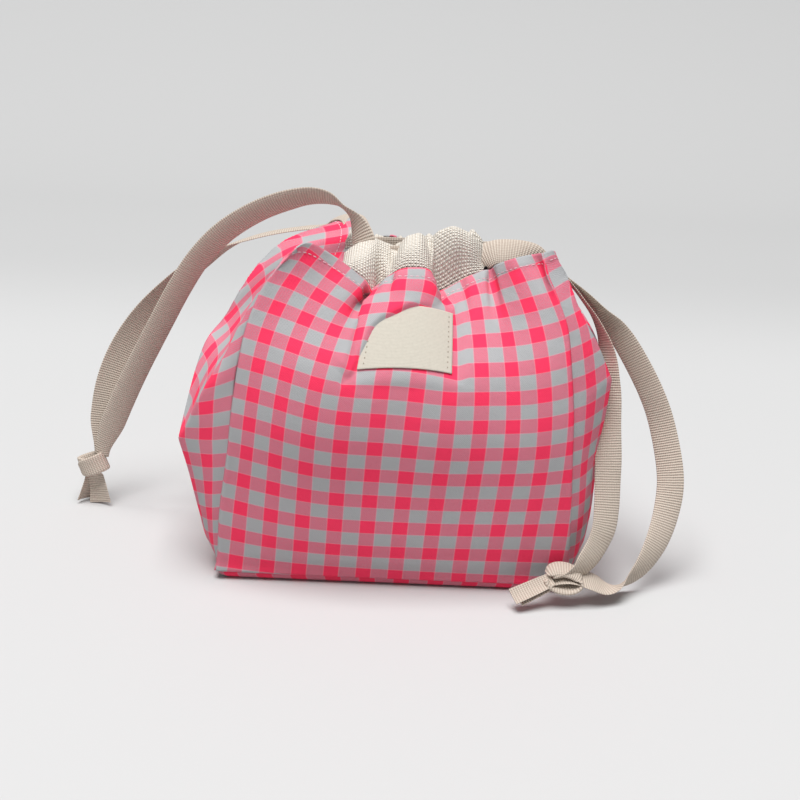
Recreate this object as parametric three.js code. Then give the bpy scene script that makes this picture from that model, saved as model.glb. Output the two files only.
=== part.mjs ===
// Drawstring project bag: a soft box bag of checked cotton, lined, standing on its base and drawn
// shut by two flat cotton tapes that run through a gathered linen casing round the mouth.
// Units are millimetres. +Z is up, the front faces -Y, and the origin is the middle of the base.

import * as THREE from 'three';

// Cloth layers
const CLOTH = 1.0; // checked cotton with its fused backing
const LINING = 0.6; // thin inner cloth
const LAYER_GAP = 0.3; // air between neighbouring pieces
const STIFFENER = 1.6; // felt board that keeps the base flat

// Box of the bag
const FRONT_WIDTH = 210; // corner seam to corner seam along the base
const GUSSET_DEPTH = 116; // front seam to back seam along the base
const SEAM_HEIGHT = 6; // floor to the seam between the walls and the base
const BASE_TUCK = 5; // how far the flat of the base stays in from that seam
const BASE_CORNER = 5; // corner radius of the base
const FRONT_BOW = 41; // how far the front swells
const BACK_BOW = 35; // how far the back swells
const LEFT_BOW = 36; // how far the left gusset swells
const RIGHT_BOW = 31; // how far the right gusset swells
const LEFT_BOW_AT = 0.25; // height share where the left gusset is widest
const RIGHT_BOW_AT = 0.5; // the same for the right gusset
const LEFT_LEAN = 0.2; // the left gusset swells this share more towards the back
const GUSSET_DENT = 12; // depth of the folded-in triangle above the swelling

// Drawn mouth
const MOUTH_X = 17; // the mouth is drawn off the middle, to the right
const MOUTH_SPAN = 128; // left ear to right ear
const EAR_HEIGHT = 204; // floor to the highest hem corner
const EAR_DEPTH = 44; // ears stand this far before and behind the middle

// Drawstring casing and tapes
const TAPE_WIDTH = 16;
const TAPE_THICK = 1.2;
const TAPE_GAP = 0.6; // between the two tapes in one channel
const CHANNEL_PLAY = 0.4; // between a tape's face and the channel wall
const CHANNEL_HEADROOM = 1.0; // above and below a tape's edges
const CASING_WALL = 0.9;
const CASING_FROM = 0.262; // share of the hem where the casing starts
const CASING_TO = 0.735; // share of the hem where it ends
const MOUTH_GAP = 14.4; // between the front and the back casing
const RUFFLE = 2.6; // height of the gathers on the casing's outer face
const RUFFLE_CREST = 3.0; // height of the gathers along its top
const CREST_ROOM = 2.2; // loose cloth above the channel
const RUFFLES = 4.5; // gathers along one casing
const CHANNEL_DROP = 16; // ear tip down to the middle of the channel
const TURN_STUB = 13; // a tape's slack turn first runs straight on this far past the casing's end
const TURN_REACH = 10; // then it bends round this much farther out
const TURN_SAG = 17.5; // how far the bend hangs below the channel

// Label and care tag
const LABEL_WIDTH = 52;
const LABEL_HEIGHT = 35;
const LABEL_THICK = 0.5;
const LABEL_LIFT = 0.6; // between the label and the front's facets
const LABEL_U = 0.5; // place across the front
const LABEL_V = 0.73; // place up the front
const TAG_WIDTH = 9;
const TAG_HEIGHT = 11;
const TAG_THICK = 0.4;
const TAG_AT = 0.8; // share of the hem where the tag is sewn in
const TAG_TUCK = 3; // hem down to the tag's middle

// Knots: an overhand knot of the doubled tape, drawn as one rope
const KNOT_SPREAD = 2.7; // size of the three lobes
const KNOT_WEAVE = 3.2; // how far crossing strands pass each other
const KNOT_RADIUS = 2.0; // half the rope's thickness
const STRAND_END_WIDTH = 7; // a tape is bunched to this width at its knot

const FRONT_COLUMNS = 18;
const GUSSET_COLUMNS = 12;
const WALL_ROWS = 12;

const HALF_WIDTH = FRONT_WIDTH / 2;
const HALF_DEPTH = GUSSET_DEPTH / 2;
const CHANNEL_Z = EAR_HEIGHT - CHANNEL_DROP;
const CHANNEL_HALF = TAPE_THICK + TAPE_GAP / 2 + CHANNEL_PLAY;
const SLEEVE_HALF = CHANNEL_HALF + CASING_WALL;
const SLEEVE_Y = MOUTH_GAP / 2 + SLEEVE_HALF;
const SLEEVE_HALF_HEIGHT = TAPE_WIDTH / 2 + CHANNEL_HEADROOM + CASING_WALL;
const LAYERS = CLOTH + LAYER_GAP + LINING;
const HEM_NEAREST = SLEEVE_Y + SLEEVE_HALF + RUFFLE + LAYERS + LAYER_GAP;
const INNER_TAPE_Y = SLEEVE_Y - (TAPE_THICK + TAPE_GAP) / 2;
const OUTER_TAPE_Y = SLEEVE_Y + (TAPE_THICK + TAPE_GAP) / 2;

const vec = (x, y, z) => new THREE.Vector3(x, y, z);
const mix = THREE.MathUtils.lerp;
const clamp = THREE.MathUtils.clamp;

// Materials
function cloth(color, roughness) {
  return new THREE.MeshStandardMaterial({ color, roughness, metalness: 0 });
}

const CHECKED_COTTON = cloth('#ee7f97', 0.9);
const LINING_COTTON = cloth('#d9d6d2', 0.9);
const FELT = cloth('#bdb9b2', 0.95);
const LINEN = cloth('#e1dacd', 0.95);
const TAPE_COTTON = cloth('#c9b9aa', 0.95);
const LABEL_COTTON = cloth('#ebe4d4', 0.9);
const TAG_SATIN = cloth('#17161a', 0.6);

// Closed mesh from a list of triangles
function solid(points, triangles) {
  const geometry = new THREE.BufferGeometry();
  geometry.setAttribute('position', new THREE.Float32BufferAttribute(points.flatMap((p) => p.toArray()), 3));
  geometry.setIndex(triangles);
  geometry.computeVertexNormals();
  return geometry;
}

// Closed slab between an outer and an inner grid of the same size; the outer grid's columns run
// left to right and its rows bottom to top, seen from outside.
function slab(outer, inner) {
  const rows = outer.length;
  const columns = outer[0].length;
  const points = [...outer.flat(), ...inner.flat()];
  const out = (r, c) => r * columns + c;
  const back = (r, c) => rows * columns + r * columns + c;
  const triangles = [];
  const quad = (a, b, c, d) => triangles.push(a, b, c, a, c, d);
  for (let r = 0; r + 1 < rows; r += 1) {
    for (let c = 0; c + 1 < columns; c += 1) {
      quad(out(r, c), out(r, c + 1), out(r + 1, c + 1), out(r + 1, c));
      quad(back(r, c), back(r + 1, c), back(r + 1, c + 1), back(r, c + 1));
    }
    quad(out(r, 0), out(r + 1, 0), back(r + 1, 0), back(r, 0));
    quad(out(r, columns - 1), back(r, columns - 1), back(r + 1, columns - 1), out(r + 1, columns - 1));
  }
  for (let c = 0; c + 1 < columns; c += 1) {
    quad(out(0, c), back(0, c), back(0, c + 1), out(0, c + 1));
    quad(out(rows - 1, c), out(rows - 1, c + 1), back(rows - 1, c + 1), back(rows - 1, c));
  }
  return solid(points, triangles);
}

// Closed body through a row of like rings, each wound the same way, with flat ends
function ringLoft(rings) {
  const sides = rings[0].length;
  const triangles = [];
  for (let r = 0; r + 1 < rings.length; r += 1) {
    for (let s = 0; s < sides; s += 1) {
      const next = (s + 1) % sides;
      const a = r * sides + s;
      const b = r * sides + next;
      triangles.push(a, b, b + sides, a, b + sides, a + sides);
    }
  }
  const last = (rings.length - 1) * sides;
  for (let s = 1; s + 1 < sides; s += 1) {
    triangles.push(0, s + 1, s);
    triangles.push(last, last + s, last + s + 1);
  }
  return solid(rings.flat(), triangles);
}

// The four hem corners, called ears, each nudged from the regular place by its own slump
function ear(side, face, slump) {
  const x = MOUTH_X + side * (MOUTH_SPAN / 2 - slump.x);
  return vec(x, face * (EAR_DEPTH - slump.y), EAR_HEIGHT - slump.z);
}

const EARS = {
  frontLeft: ear(-1, -1, vec(0, -4, 0)),
  frontRight: ear(1, -1, vec(0, 6, 0)),
  backRight: ear(1, 1, vec(0, 2, 18)),
  backLeft: ear(-1, 1, vec(10, 2, 6)),
};

// Corner seams rise from the base and lean in to the ears
function cornerSeam(side, face, tip, lift, reach) {
  const foot = vec(side * HALF_WIDTH, face * HALF_DEPTH, SEAM_HEIGHT);
  const low = foot.clone().add(vec(-side * lift.x, -face * lift.y, lift.z));
  const high = tip.clone().add(vec(side * reach.x, face * reach.y, -reach.z));
  return new THREE.CubicBezierCurve3(foot, low, high, tip);
}

const LEFT_LIFT = vec(6, 1, 94);
const LEFT_REACH = vec(46, 8, 14);
const RIGHT_LIFT = vec(0, 1, 69);
const RIGHT_REACH = vec(20, 14, 54);
const SEAMS = {
  frontLeft: cornerSeam(-1, -1, EARS.frontLeft, LEFT_LIFT, LEFT_REACH),
  frontRight: cornerSeam(1, -1, EARS.frontRight, RIGHT_LIFT, RIGHT_REACH),
  backRight: cornerSeam(1, 1, EARS.backRight, RIGHT_LIFT, RIGHT_REACH),
  backLeft: cornerSeam(-1, 1, EARS.backLeft, LEFT_LIFT, LEFT_REACH),
};

// Hem folds of the front and the back: share of the way between the ears, how far the fold is
// pulled in towards the casing, and how far it drops below the ears
const FRONT_FOLDS = [
  [0.1, 0.31, 12], [0.235, 0.85, 36], [0.31, 0.74, 24], [0.39, 0.62, 17], [0.49, 1, 30],
  [0.57, 0.9, 27], [0.66, 0.83, 22], [0.75, 0.73, 15], [0.875, 0.43, 7],
];
const BACK_FOLDS = [[0.15, 0.4, 1], [0.32, 0.8, 4], [0.55, 1, 8], [0.75, 0.7, 5], [0.88, 0.35, 3]];

// Hem folds of the gussets: share of the way, sag towards the mouth, drop
const LEFT_FOLDS = [[0.15, 1, 7], [0.38, 5, 16], [0.58, 5, 17], [0.82, 1, 8]];
const RIGHT_FOLDS = [[0.16, 1, 11], [0.38, 5, 21], [0.58, 5, 16], [0.84, 1, 4]];

function wideHem(from, to, face, folds) {
  const middle = folds.map(([share, pull, drop]) => {
    const point = from.clone().lerp(to, share);
    return vec(point.x, mix(point.y, face * HEM_NEAREST, pull), point.z - drop);
  });
  return new THREE.CatmullRomCurve3([from, ...middle, to]);
}

function gussetHem(from, to, side, folds) {
  const middle = folds.map(([share, sag, drop]) => {
    const point = from.clone().lerp(to, share);
    return vec(point.x - side * sag, point.y, point.z - drop);
  });
  return new THREE.CatmullRomCurve3([from, ...middle, to]);
}

// A front or back swells as one soft cushion, fullest near the middle of its height
function wideSwell(u, v, bow, climb) {
  return bow * Math.sin(Math.PI * u) ** 0.6 * Math.sin(Math.PI * v ** climb);
}

// A gusset swells below; above its widest place two creases run up to the ears and the cloth
// between them folds in.
function gussetSwell(u, v, bow, widest) {
  const across = Math.abs(2 * u - 1);
  const climb = Math.max(0, (v - widest) / (1 - widest));
  const crease = climb ** 0.85;
  const ridge = v < widest ? bow * Math.sin((Math.PI / 2) * (v / widest)) : bow * (1 - climb) ** 0.9;
  if (across >= crease) {
    const outwards = crease < 1 ? (across - crease) / (1 - crease) : 1;
    return ridge * (1 - outwards ** 2);
  }
  return ridge - GUSSET_DENT * Math.sin(Math.PI * climb) * (1 - across / crease);
}

// A wall is a patch between two corner seams, the base line and its hem. The hem's folds fade
// out below it, and the swelling is added along the wall's outward direction.
function wall(leftSeam, rightSeam, hem, outward, columns, swell) {
  const fold = hem.getSpacedPoints(columns);
  const foot = (u) => leftSeam.getPoint(0).lerp(rightSeam.getPoint(0), u);
  const rim = (u) => leftSeam.getPoint(1).lerp(rightSeam.getPoint(1), u);
  const foldAt = (u) => {
    const place = clamp(u, 0, 1) * columns;
    const index = Math.min(Math.floor(place), columns - 1);
    return fold[index].clone().lerp(fold[index + 1], place - index);
  };
  const sag = fold.reduce((sum, p, i) => sum.add(p).sub(rim(i / columns)), vec(0, 0, 0));
  sag.multiplyScalar(1.5 / (columns + 1));
  const softRim = (u) => rim(u).addScaledVector(sag, 4 * u * (1 - u));
  const point = (u, v) => {
    const sides = leftSeam.getPoint(v).lerp(rightSeam.getPoint(v), u);
    const ends = foot(u).lerp(softRim(u), v);
    const corners = foot(u).lerp(rim(u), v);
    const folded = foldAt(u).sub(softRim(u)).multiplyScalar(v ** 5);
    return sides.add(ends).sub(corners).add(folded).addScaledVector(outward, swell(u, v));
  };
  const grid = [];
  for (let r = 0; r <= WALL_ROWS; r += 1) {
    const row = [];
    for (let c = 0; c <= columns; c += 1) {
      row.push(point(c / columns, r / WALL_ROWS));
    }
    grid.push(row);
  }
  return { grid, foldAt, facet: (u, v) => facetPoint(grid, u, v), normals: gridNormals(grid) };
}

// Point on the flat facets of a wall's grid, carried on straight past its hem
function facetPoint(grid, u, v) {
  const columns = grid[0].length - 1;
  const rows = grid.length - 1;
  const c = clamp(Math.floor(u * columns), 0, columns - 1);
  const r = clamp(Math.floor(v * rows), 0, rows - 1);
  const across = u * columns - c;
  const up = v * rows - r;
  const first = grid[r][c].clone();
  const last = grid[r + 1][c + 1];
  const corner = across > up ? grid[r][c + 1] : grid[r + 1][c];
  const leg = corner.clone().sub(grid[r][c]);
  const rest = last.clone().sub(corner);
  return across > up
    ? first.addScaledVector(leg, across).addScaledVector(rest, up)
    : first.addScaledVector(leg, up).addScaledVector(rest, across);
}

// Outward unit normals of a grid from its neighbours
function gridNormals(grid) {
  const rows = grid.length;
  const columns = grid[0].length;
  return grid.map((row, r) => row.map((_, c) => {
    const across = row[Math.min(c + 1, columns - 1)].clone().sub(row[Math.max(c - 1, 0)]);
    const up = grid[Math.min(r + 1, rows - 1)][c].clone().sub(grid[Math.max(r - 1, 0)][c]);
    return across.cross(up).normalize();
  }));
}

const WALLS = {
  front: wall(SEAMS.frontLeft, SEAMS.frontRight,
    wideHem(EARS.frontLeft, EARS.frontRight, -1, FRONT_FOLDS), vec(0, -1, 0), FRONT_COLUMNS,
    (u, v) => wideSwell(u, v, FRONT_BOW, 0.9)),
  right: wall(SEAMS.frontRight, SEAMS.backRight,
    gussetHem(EARS.frontRight, EARS.backRight, 1, RIGHT_FOLDS), vec(1, 0, 0), GUSSET_COLUMNS,
    (u, v) => gussetSwell(u, v, RIGHT_BOW, RIGHT_BOW_AT)),
  back: wall(SEAMS.backRight, SEAMS.backLeft,
    wideHem(EARS.backRight, EARS.backLeft, 1, BACK_FOLDS), vec(0, 1, 0), FRONT_COLUMNS,
    (u, v) => wideSwell(u, v, BACK_BOW, 0.8)),
  left: wall(SEAMS.backLeft, SEAMS.frontLeft,
    gussetHem(EARS.backLeft, EARS.frontLeft, -1, LEFT_FOLDS.map(([s, a, d]) => [1 - s, a, d]).reverse()),
    vec(-1, 0, 0), GUSSET_COLUMNS,
    (u, v) => gussetSwell(u, v, LEFT_BOW, LEFT_BOW_AT) * (1 + LEFT_LEAN * (1 - 2 * u))),
};

// Walls that meet at a corner seam share one mitred direction there, so that layers of any depth
// stay clear of each other.
function mitre(first, second) {
  first.normals.forEach((row, r) => {
    const mine = row[row.length - 1];
    const theirs = second.normals[r][0];
    const shared = mine.clone().add(theirs).normalize();
    shared.divideScalar(Math.max(shared.dot(mine), 0.3));
    row[row.length - 1] = shared;
    second.normals[r][0] = shared.clone();
  });
}

mitre(WALLS.front, WALLS.right);
mitre(WALLS.right, WALLS.back);
mitre(WALLS.back, WALLS.left);
mitre(WALLS.left, WALLS.front);

// One face of a layer: the wall's grid moved inwards, with its seam edges drawn in by half a gap
function layerFace(shell, depth) {
  const face = shell.grid.map((row, r) => row.map((p, c) => (
    p.clone().addScaledVector(shell.normals[r][c], -depth))));
  const edgeGap = LAYER_GAP * Math.SQRT1_2;
  return face.map((row) => {
    const last = row.length - 1;
    const start = row[1].clone().sub(row[0]).setLength(edgeGap).add(row[0]);
    const end = row[last - 1].clone().sub(row[last]).setLength(edgeGap).add(row[last]);
    return [start, ...row.slice(1, last), end];
  });
}

function layer(shell, depth, thick) {
  return slab(layerFace(shell, depth), layerFace(shell, depth + thick));
}

// Rounded rectangle of the base, drawn in by an inset
function baseRing(inset, z) {
  const x = HALF_WIDTH - inset - BASE_CORNER;
  const y = HALF_DEPTH - inset - BASE_CORNER;
  const ring = [];
  const steps = 3;
  [[1, -1, -1], [1, 1, 0], [-1, 1, 1], [-1, -1, 2]].forEach(([sx, sy, quarter]) => {
    for (let i = 0; i <= steps; i += 1) {
      const angle = (Math.PI / 2) * (quarter + i / steps);
      ring.push(vec(sx * x + BASE_CORNER * Math.cos(angle), sy * y + BASE_CORNER * Math.sin(angle), z));
    }
  });
  return ring;
}

// Shallow tray: flat in the middle, its edge turned up to the seam with the walls
function tray(inset, floor, thick) {
  const rim = SEAM_HEIGHT - LAYER_GAP;
  const knee = 0.35;
  const below = [
    baseRing(inset + BASE_TUCK, floor),
    baseRing(inset + 1, mix(floor, rim, knee)),
    baseRing(inset, rim),
  ];
  const above = [
    baseRing(inset + thick, rim),
    baseRing(inset + thick + 1, mix(floor + thick, rim, knee)),
    baseRing(inset + thick + BASE_TUCK, floor + thick),
  ];
  return ringLoft([...below, ...above]);
}

function stiffener() {
  const ring = baseRing(BASE_TUCK + CLOTH + LAYER_GAP + 1, CLOTH + LAYER_GAP);
  const top = ring.map((p) => p.clone().setZ(p.z + STIFFENER));
  return ringLoft([ring, top]);
}

// Gathered casing: at each station a sleeve section with the channel in it, joined by a short
// skirt to the hem below; the sleeve's outer face and its top swell and sink with the gathers.
function casing(shell, face, from, to) {
  const stations = 32;
  const bottom = CHANNEL_Z - SLEEVE_HALF_HEIGHT;
  const outerRings = [];
  const innerRings = [];
  for (let i = 0; i <= stations; i += 1) {
    const share = i / stations;
    const hem = shell.foldAt(mix(from, to, share)).add(vec(0, 0, LAYER_GAP + 0.1));
    const wave = 0.5 - 0.5 * Math.cos(2 * Math.PI * RUFFLES * share);
    const top = CHANNEL_Z + SLEEVE_HALF_HEIGHT + CREST_ROOM + RUFFLE_CREST * (1 - wave);
    const near = SLEEVE_Y - SLEEVE_HALF;
    const far = SLEEVE_Y + SLEEVE_HALF + RUFFLE * wave;
    const joint = clamp(hem.z, bottom + 4, top - 9);
    const out = Math.abs(hem.y);
    const place = (depth, z) => vec(hem.x, face * depth, z);
    outerRings.push([
      place(out, hem.z), place(out, hem.z + CASING_WALL), place(far, joint + 1.4),
      place(far, top - 4), place(mix(near, far, 0.75), top - 0.8), place(mix(near, far, 0.4), top),
      place(near + 0.8, top - 1.6), place(near, top - 5), place(near, bottom + 1.6),
      place(near + 1, bottom), place(SLEEVE_Y + SLEEVE_HALF - 1, bottom),
      place(SLEEVE_Y + SLEEVE_HALF, joint - 1.4),
    ]);
    const high = CHANNEL_Z + TAPE_WIDTH / 2 + CHANNEL_HEADROOM;
    const low = CHANNEL_Z - TAPE_WIDTH / 2 - CHANNEL_HEADROOM;
    const wide = SLEEVE_Y + CHANNEL_HALF;
    const narrow = SLEEVE_Y - CHANNEL_HALF;
    innerRings.push([
      place(wide, joint - 0.4), place(wide, joint + 0.4), place(wide, joint + 1.2), place(wide, high),
      place(mix(narrow, wide, 0.67), high), place(mix(narrow, wide, 0.33), high), place(narrow, high),
      place(narrow, high - 3), place(narrow, low + 1), place(narrow, low), place(wide, low),
      place(wide, joint - 1.2),
    ]);
  }
  return hollowLoft(outerRings, innerRings);
}

// Closed body between a row of outer rings and a hole of matching rings that runs through them
function hollowLoft(outerRings, innerRings) {
  const sides = outerRings[0].length;
  const rows = outerRings.length;
  const outer = (r, s) => r * sides + (s % sides);
  const inner = (r, s) => rows * sides + outer(r, s);
  const triangles = [];
  const quad = (a, b, c, d) => triangles.push(a, b, c, a, c, d);
  for (let s = 0; s < sides; s += 1) {
    for (let r = 0; r + 1 < rows; r += 1) {
      quad(outer(r, s), outer(r, s + 1), outer(r + 1, s + 1), outer(r + 1, s));
      quad(inner(r, s), inner(r + 1, s), inner(r + 1, s + 1), inner(r, s + 1));
    }
    quad(outer(0, s), inner(0, s), inner(0, s + 1), outer(0, s + 1));
    quad(outer(rows - 1, s), outer(rows - 1, s + 1), inner(rows - 1, s + 1), inner(rows - 1, s));
  }
  return orient(solid([...outerRings.flat(), ...innerRings.flat()], triangles));
}

// Turn a closed mesh's faces outwards, by the sign of its volume
function orient(geometry) {
  const at = geometry.attributes.position;
  const index = geometry.index.array;
  const corner = (i) => new THREE.Vector3().fromBufferAttribute(at, index[i]);
  let volume = 0;
  for (let i = 0; i < index.length; i += 3) {
    volume += corner(i).dot(corner(i + 1).cross(corner(i + 2)));
  }
  if (volume < 0) {
    geometry.setIndex(Array.from(index).reverse());
    geometry.computeVertexNormals();
  }
  return geometry;
}

// Thin patch sewn on a wall: its outer face lies `depth` inside the wall's outer face (outside
// where negative), centred at a share of the wall, with a size in millimetres
function patch(shell, u, v, width, height, depth, thick, overhang = 0) {
  const step = 0.02;
  const perU = shell.facet(u + step, v).distanceTo(shell.facet(u - step, v)) / (2 * step);
  const perV = shell.facet(u, v).distanceTo(shell.facet(u, v - step)) / step;
  const columns = 8;
  const rows = 6;
  const grid = [];
  for (let r = 0; r <= rows; r += 1) {
    const row = [];
    for (let c = 0; c <= columns; c += 1) {
      const a = u + ((c / columns - 0.5) * width) / perU;
      const b = v + ((r / rows - 0.5) * height + overhang) / perV;
      row.push(shell.facet(a, b));
    }
    grid.push(row);
  }
  const normals = gridNormals(grid);
  const sunk = (by) => grid.map((row, r) => row.map((p, c) => p.clone().addScaledVector(normals[r][c], -by)));
  return slab(sunk(depth), sunk(depth + thick));
}

// Flat tape along a route. Each stop is [x, y, z, width direction x, y, z]; the tape goes from
// its start width to its end width over the last share of the route.
function tape(stops, steps, startWidth, endWidth, endShare = 0.2) {
  const path = new THREE.CatmullRomCurve3(stops.map((s) => vec(s[0], s[1], s[2])), false, 'centripetal');
  const sides = new THREE.CatmullRomCurve3(stops.map((s) => vec(s[3], s[4], s[5])), false, 'centripetal');
  const rings = [];
  for (let i = 0; i <= steps; i += 1) {
    const share = i / steps;
    const t = path.getUtoTmapping(share);
    const along = path.getTangent(t);
    const across = sides.getPoint(t);
    across.addScaledVector(along, -across.dot(along)).normalize();
    const up = along.clone().cross(across);
    const bunch = THREE.MathUtils.smoothstep(share, 1 - endShare, 1);
    const half = mix(startWidth, endWidth, bunch) / 2;
    const centre = path.getPoint(t);
    rings.push(tapeSection(centre, across, up, half));
  }
  return orient(ringLoft(rings));
}

function tapeSection(centre, across, up, half) {
  return [[-1, -1], [1, -1], [1, 1], [-1, 1]].map(([a, b]) => centre.clone()
    .addScaledVector(across, a * half).addScaledVector(up, (b * TAPE_THICK) / 2));
}

// Overhand knot: three woven lobes, opened at one lobe where the strands come in and the tails
// leave. lobe points out along the open lobe, strands along the incoming tape.
function knotCurve(centre, lobe, strands) {
  const normal = lobe.clone().cross(strands);
  const place = (a, b, c) => centre.clone().addScaledVector(lobe, KNOT_SPREAD * a)
    .addScaledVector(strands, KNOT_SPREAD * b).addScaledVector(normal, KNOT_WEAVE * c);
  const opening = 0.35;
  const turns = 30;
  const points = [place(4.3, 3.4, 0.9), place(3.9, 2.2, 0.95), place(2.9, 1.65, 0.95)];
  for (let i = 0; i <= turns; i += 1) {
    const t = mix(opening, 2 * Math.PI - opening, i / turns);
    const radius = 2 + Math.cos(3 * t);
    points.push(place(radius * Math.cos(2 * t), radius * Math.sin(2 * t), Math.sin(3 * t)));
  }
  points.push(place(2.9, -1.65, -0.95), place(3.9, -2.2, -0.95), place(4.3, -3.4, -0.9));
  return new THREE.CatmullRomCurve3(points);
}

function knot(curve) {
  const section = new THREE.Shape();
  section.absarc(0, 0, KNOT_RADIUS, 0, 2 * Math.PI);
  const options = { steps: 60, curveSegments: 4, bevelEnabled: false, extrudePath: curve };
  return new THREE.ExtrudeGeometry(section, options);
}

// Routes of the free tapes: place and width direction at each stop
const CASING_START = WALLS.front.foldAt(CASING_FROM).x;
const CASING_END = WALLS.front.foldAt(CASING_TO).x;
const LEFT_EXIT = CASING_START - LAYER_GAP;
const RIGHT_EXIT = CASING_END + LAYER_GAP;

const LEFT_FRONT_ROUTE = [
  [LEFT_EXIT, -INNER_TAPE_Y, CHANNEL_Z, 0, 0, -1], [LEFT_EXIT - 5, -INNER_TAPE_Y, CHANNEL_Z, 0, 0, -1],
  [-31.5, -8.4, 194, -0.7, 0.1, -0.7], [-36, -5.5, 204.5, -0.4, 0.8, -0.3], [-42, -3, 213, 0.1, 1, -0.3],
  [-53, 2, 218, 0, 0.7, -0.7],
  [-69, 6, 216, 0, 0.55, -0.85], [-88, 11, 208, 0.2, 0.5, -0.85], [-109, 17, 193, 0.4, 0.45, -0.8],
  [-125, 22, 175, 0.55, 0.45, -0.7], [-138, 26, 154, 0.65, 0.4, -0.6], [-151, 31, 129, 0.7, 0.35, -0.55],
  [-169, 37, 93, 0.75, 0.3, -0.5], [-180, 40.5, 66, 0.8, 0.2, -0.4], [-187.2, 43, 39, 1, 0, 0],
  [-187.3, 43.1, 36.9, 1, 0, 0],
];
const LEFT_BACK_ROUTE = [
  [LEFT_EXIT, OUTER_TAPE_Y, CHANNEL_Z, 0, 0, 1], [LEFT_EXIT - 4, OUTER_TAPE_Y + 0.2, CHANNEL_Z, 0, 0, 1],
  [-29.5, 16, 190, 0, 0, 1], [-31, 27, 198.5, 0.5, 0, 0.8],
  [-34, 39, 205, 0.9, 0.2, 0.5], [-41, 49, 203, 0.7, 0.8, 0.2], [-51, 54.5, 197, 0.3, 0.95, 0],
  [-63, 58, 190, 0.1, 1, -0.1], [-83, 61, 184, 0, 1, -0.1], [-99, 62, 179, 0.1, 0.95, -0.1],
  [-115, 62, 172, 0.3, 0.8, -0.2], [-132, 61, 161, 0.5, 0.65, -0.5], [-151, 59, 144, 0.6, 0.5, -0.6],
  [-167, 57, 126, 0.7, 0.35, -0.6], [-180, 54, 105, 0.8, 0.2, -0.5], [-187, 51, 84, 0.9, 0.1, -0.3],
  [-189, 48, 62, 1, 0, -0.1], [-187.6, 45.1, 39, 1, 0, 0], [-187.6, 45, 36.9, 1, 0, 0],
];
const RIGHT_BACK_ROUTE = [
  [RIGHT_EXIT, INNER_TAPE_Y, CHANNEL_Z, 0, 0, 1], [RIGHT_EXIT + 4, INNER_TAPE_Y, CHANNEL_Z, 0, 0, 1],
  [55, 8.5, 193.5, 0, 0, 1], [67, 7, 194, 0.1, 0.2, 1], [83, 4, 190, 0.3, 0.5, 0.8],
  [96, 3, 181, 0.4, 0.7, 0.6], [112, 1, 166, 0.5, 0.7, 0.5], [131, -3, 146, 0.6, 0.6, 0.5],
  [150, -10, 117, 0.8, 0.4, 0.4], [162, -18, 88, 0.9, 0.3, 0.2], [165, -28, 62, 0.9, 0.3, -0.1],
  [160, -41, 39, 0.8, 0.4, -0.4], [151, -51, 24, 0.6, 0.5, -0.6], [138, -59, 16, 0.3, 0.6, -0.7],
  [123, -64.5, 15, 0.1, 0.2, -0.95], [107.4, -66.9, 16.6, 0, -0.2, -1],
];
const RIGHT_FRONT_ROUTE = [
  [RIGHT_EXIT, -OUTER_TAPE_Y, CHANNEL_Z, 0, 0, 1], [56, -OUTER_TAPE_Y, CHANNEL_Z, 0, 0, 1],
  [70, -10.5, 190, 0, 0.1, 1], [83, -10, 185, 0.2, 0.5, 0.8], [99, -11, 173, 0.3, 0.8, 0.5],
  [111, -14, 160, 0.3, 0.9, 0.3], [121, -21, 143, 0.4, 0.8, 0.3], [130, -31, 118, 0.6, 0.7, 0.3],
  [134, -40, 95, 0.8, 0.5, 0.2], [133.5, -50, 66, 0.9, 0.4, 0.1], [128, -58, 42, 0.9, 0.3, -0.2],
  [120, -66.5, 24, 0.5, 0.1, -0.8], [107.4, -68.9, 16.9, 0, -0.2, -1],
];
const LEFT_KNOT = [vec(-199, 46, 27), vec(1, 0, 0), vec(0, 0, 1)];
const RIGHT_KNOT = [vec(97.4, -78, 10.6), vec(0, 1, 1).normalize(), vec(1, 0, 0)];

// Slack turn of a tape from the front channel to the back one. It stands upright all the way,
// dips while it runs straight on, and bends round below the other tape.
function slackTurn(end, away, frontY, backY) {
  const stubSteps = 5;
  const bendSteps = 12;
  const middle = (frontY + backY) / 2;
  const half = (backY - frontY) / 2;
  const stubRing = (y, share) => {
    const dip = TURN_SAG * THREE.MathUtils.smoothstep(share, 0, 1);
    const centre = vec(end + away * (LAYER_GAP + TURN_STUB * share), y, CHANNEL_Z - dip);
    return tapeSection(centre, vec(0, 0, 1), vec(0, Math.sign(y - middle), 0), TAPE_WIDTH / 2);
  };
  const bendRing = (angle) => {
    const x = end + away * (LAYER_GAP + TURN_STUB + TURN_REACH * Math.cos(angle));
    const centre = vec(x, middle + half * Math.sin(angle), CHANNEL_Z - TURN_SAG);
    const facing = vec(away * half * Math.cos(angle), TURN_REACH * Math.sin(angle), 0).normalize();
    return tapeSection(centre, vec(0, 0, 1), facing, TAPE_WIDTH / 2);
  };
  const shares = Array.from({ length: stubSteps }, (_, i) => i / stubSteps);
  const angles = Array.from({ length: bendSteps + 1 }, (_, i) => Math.PI * (i / bendSteps - 0.5));
  return orient(ringLoft([
    ...shares.map((share) => stubRing(frontY, share)),
    ...angles.map(bendRing),
    ...shares.reverse().map((share) => stubRing(backY, share)),
  ]));
}

function channelRun(y) {
  const geometry = new THREE.BoxGeometry(CASING_END - CASING_START, TAPE_THICK, TAPE_WIDTH);
  return geometry.translate((CASING_START + CASING_END) / 2, y, CHANNEL_Z);
}

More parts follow.
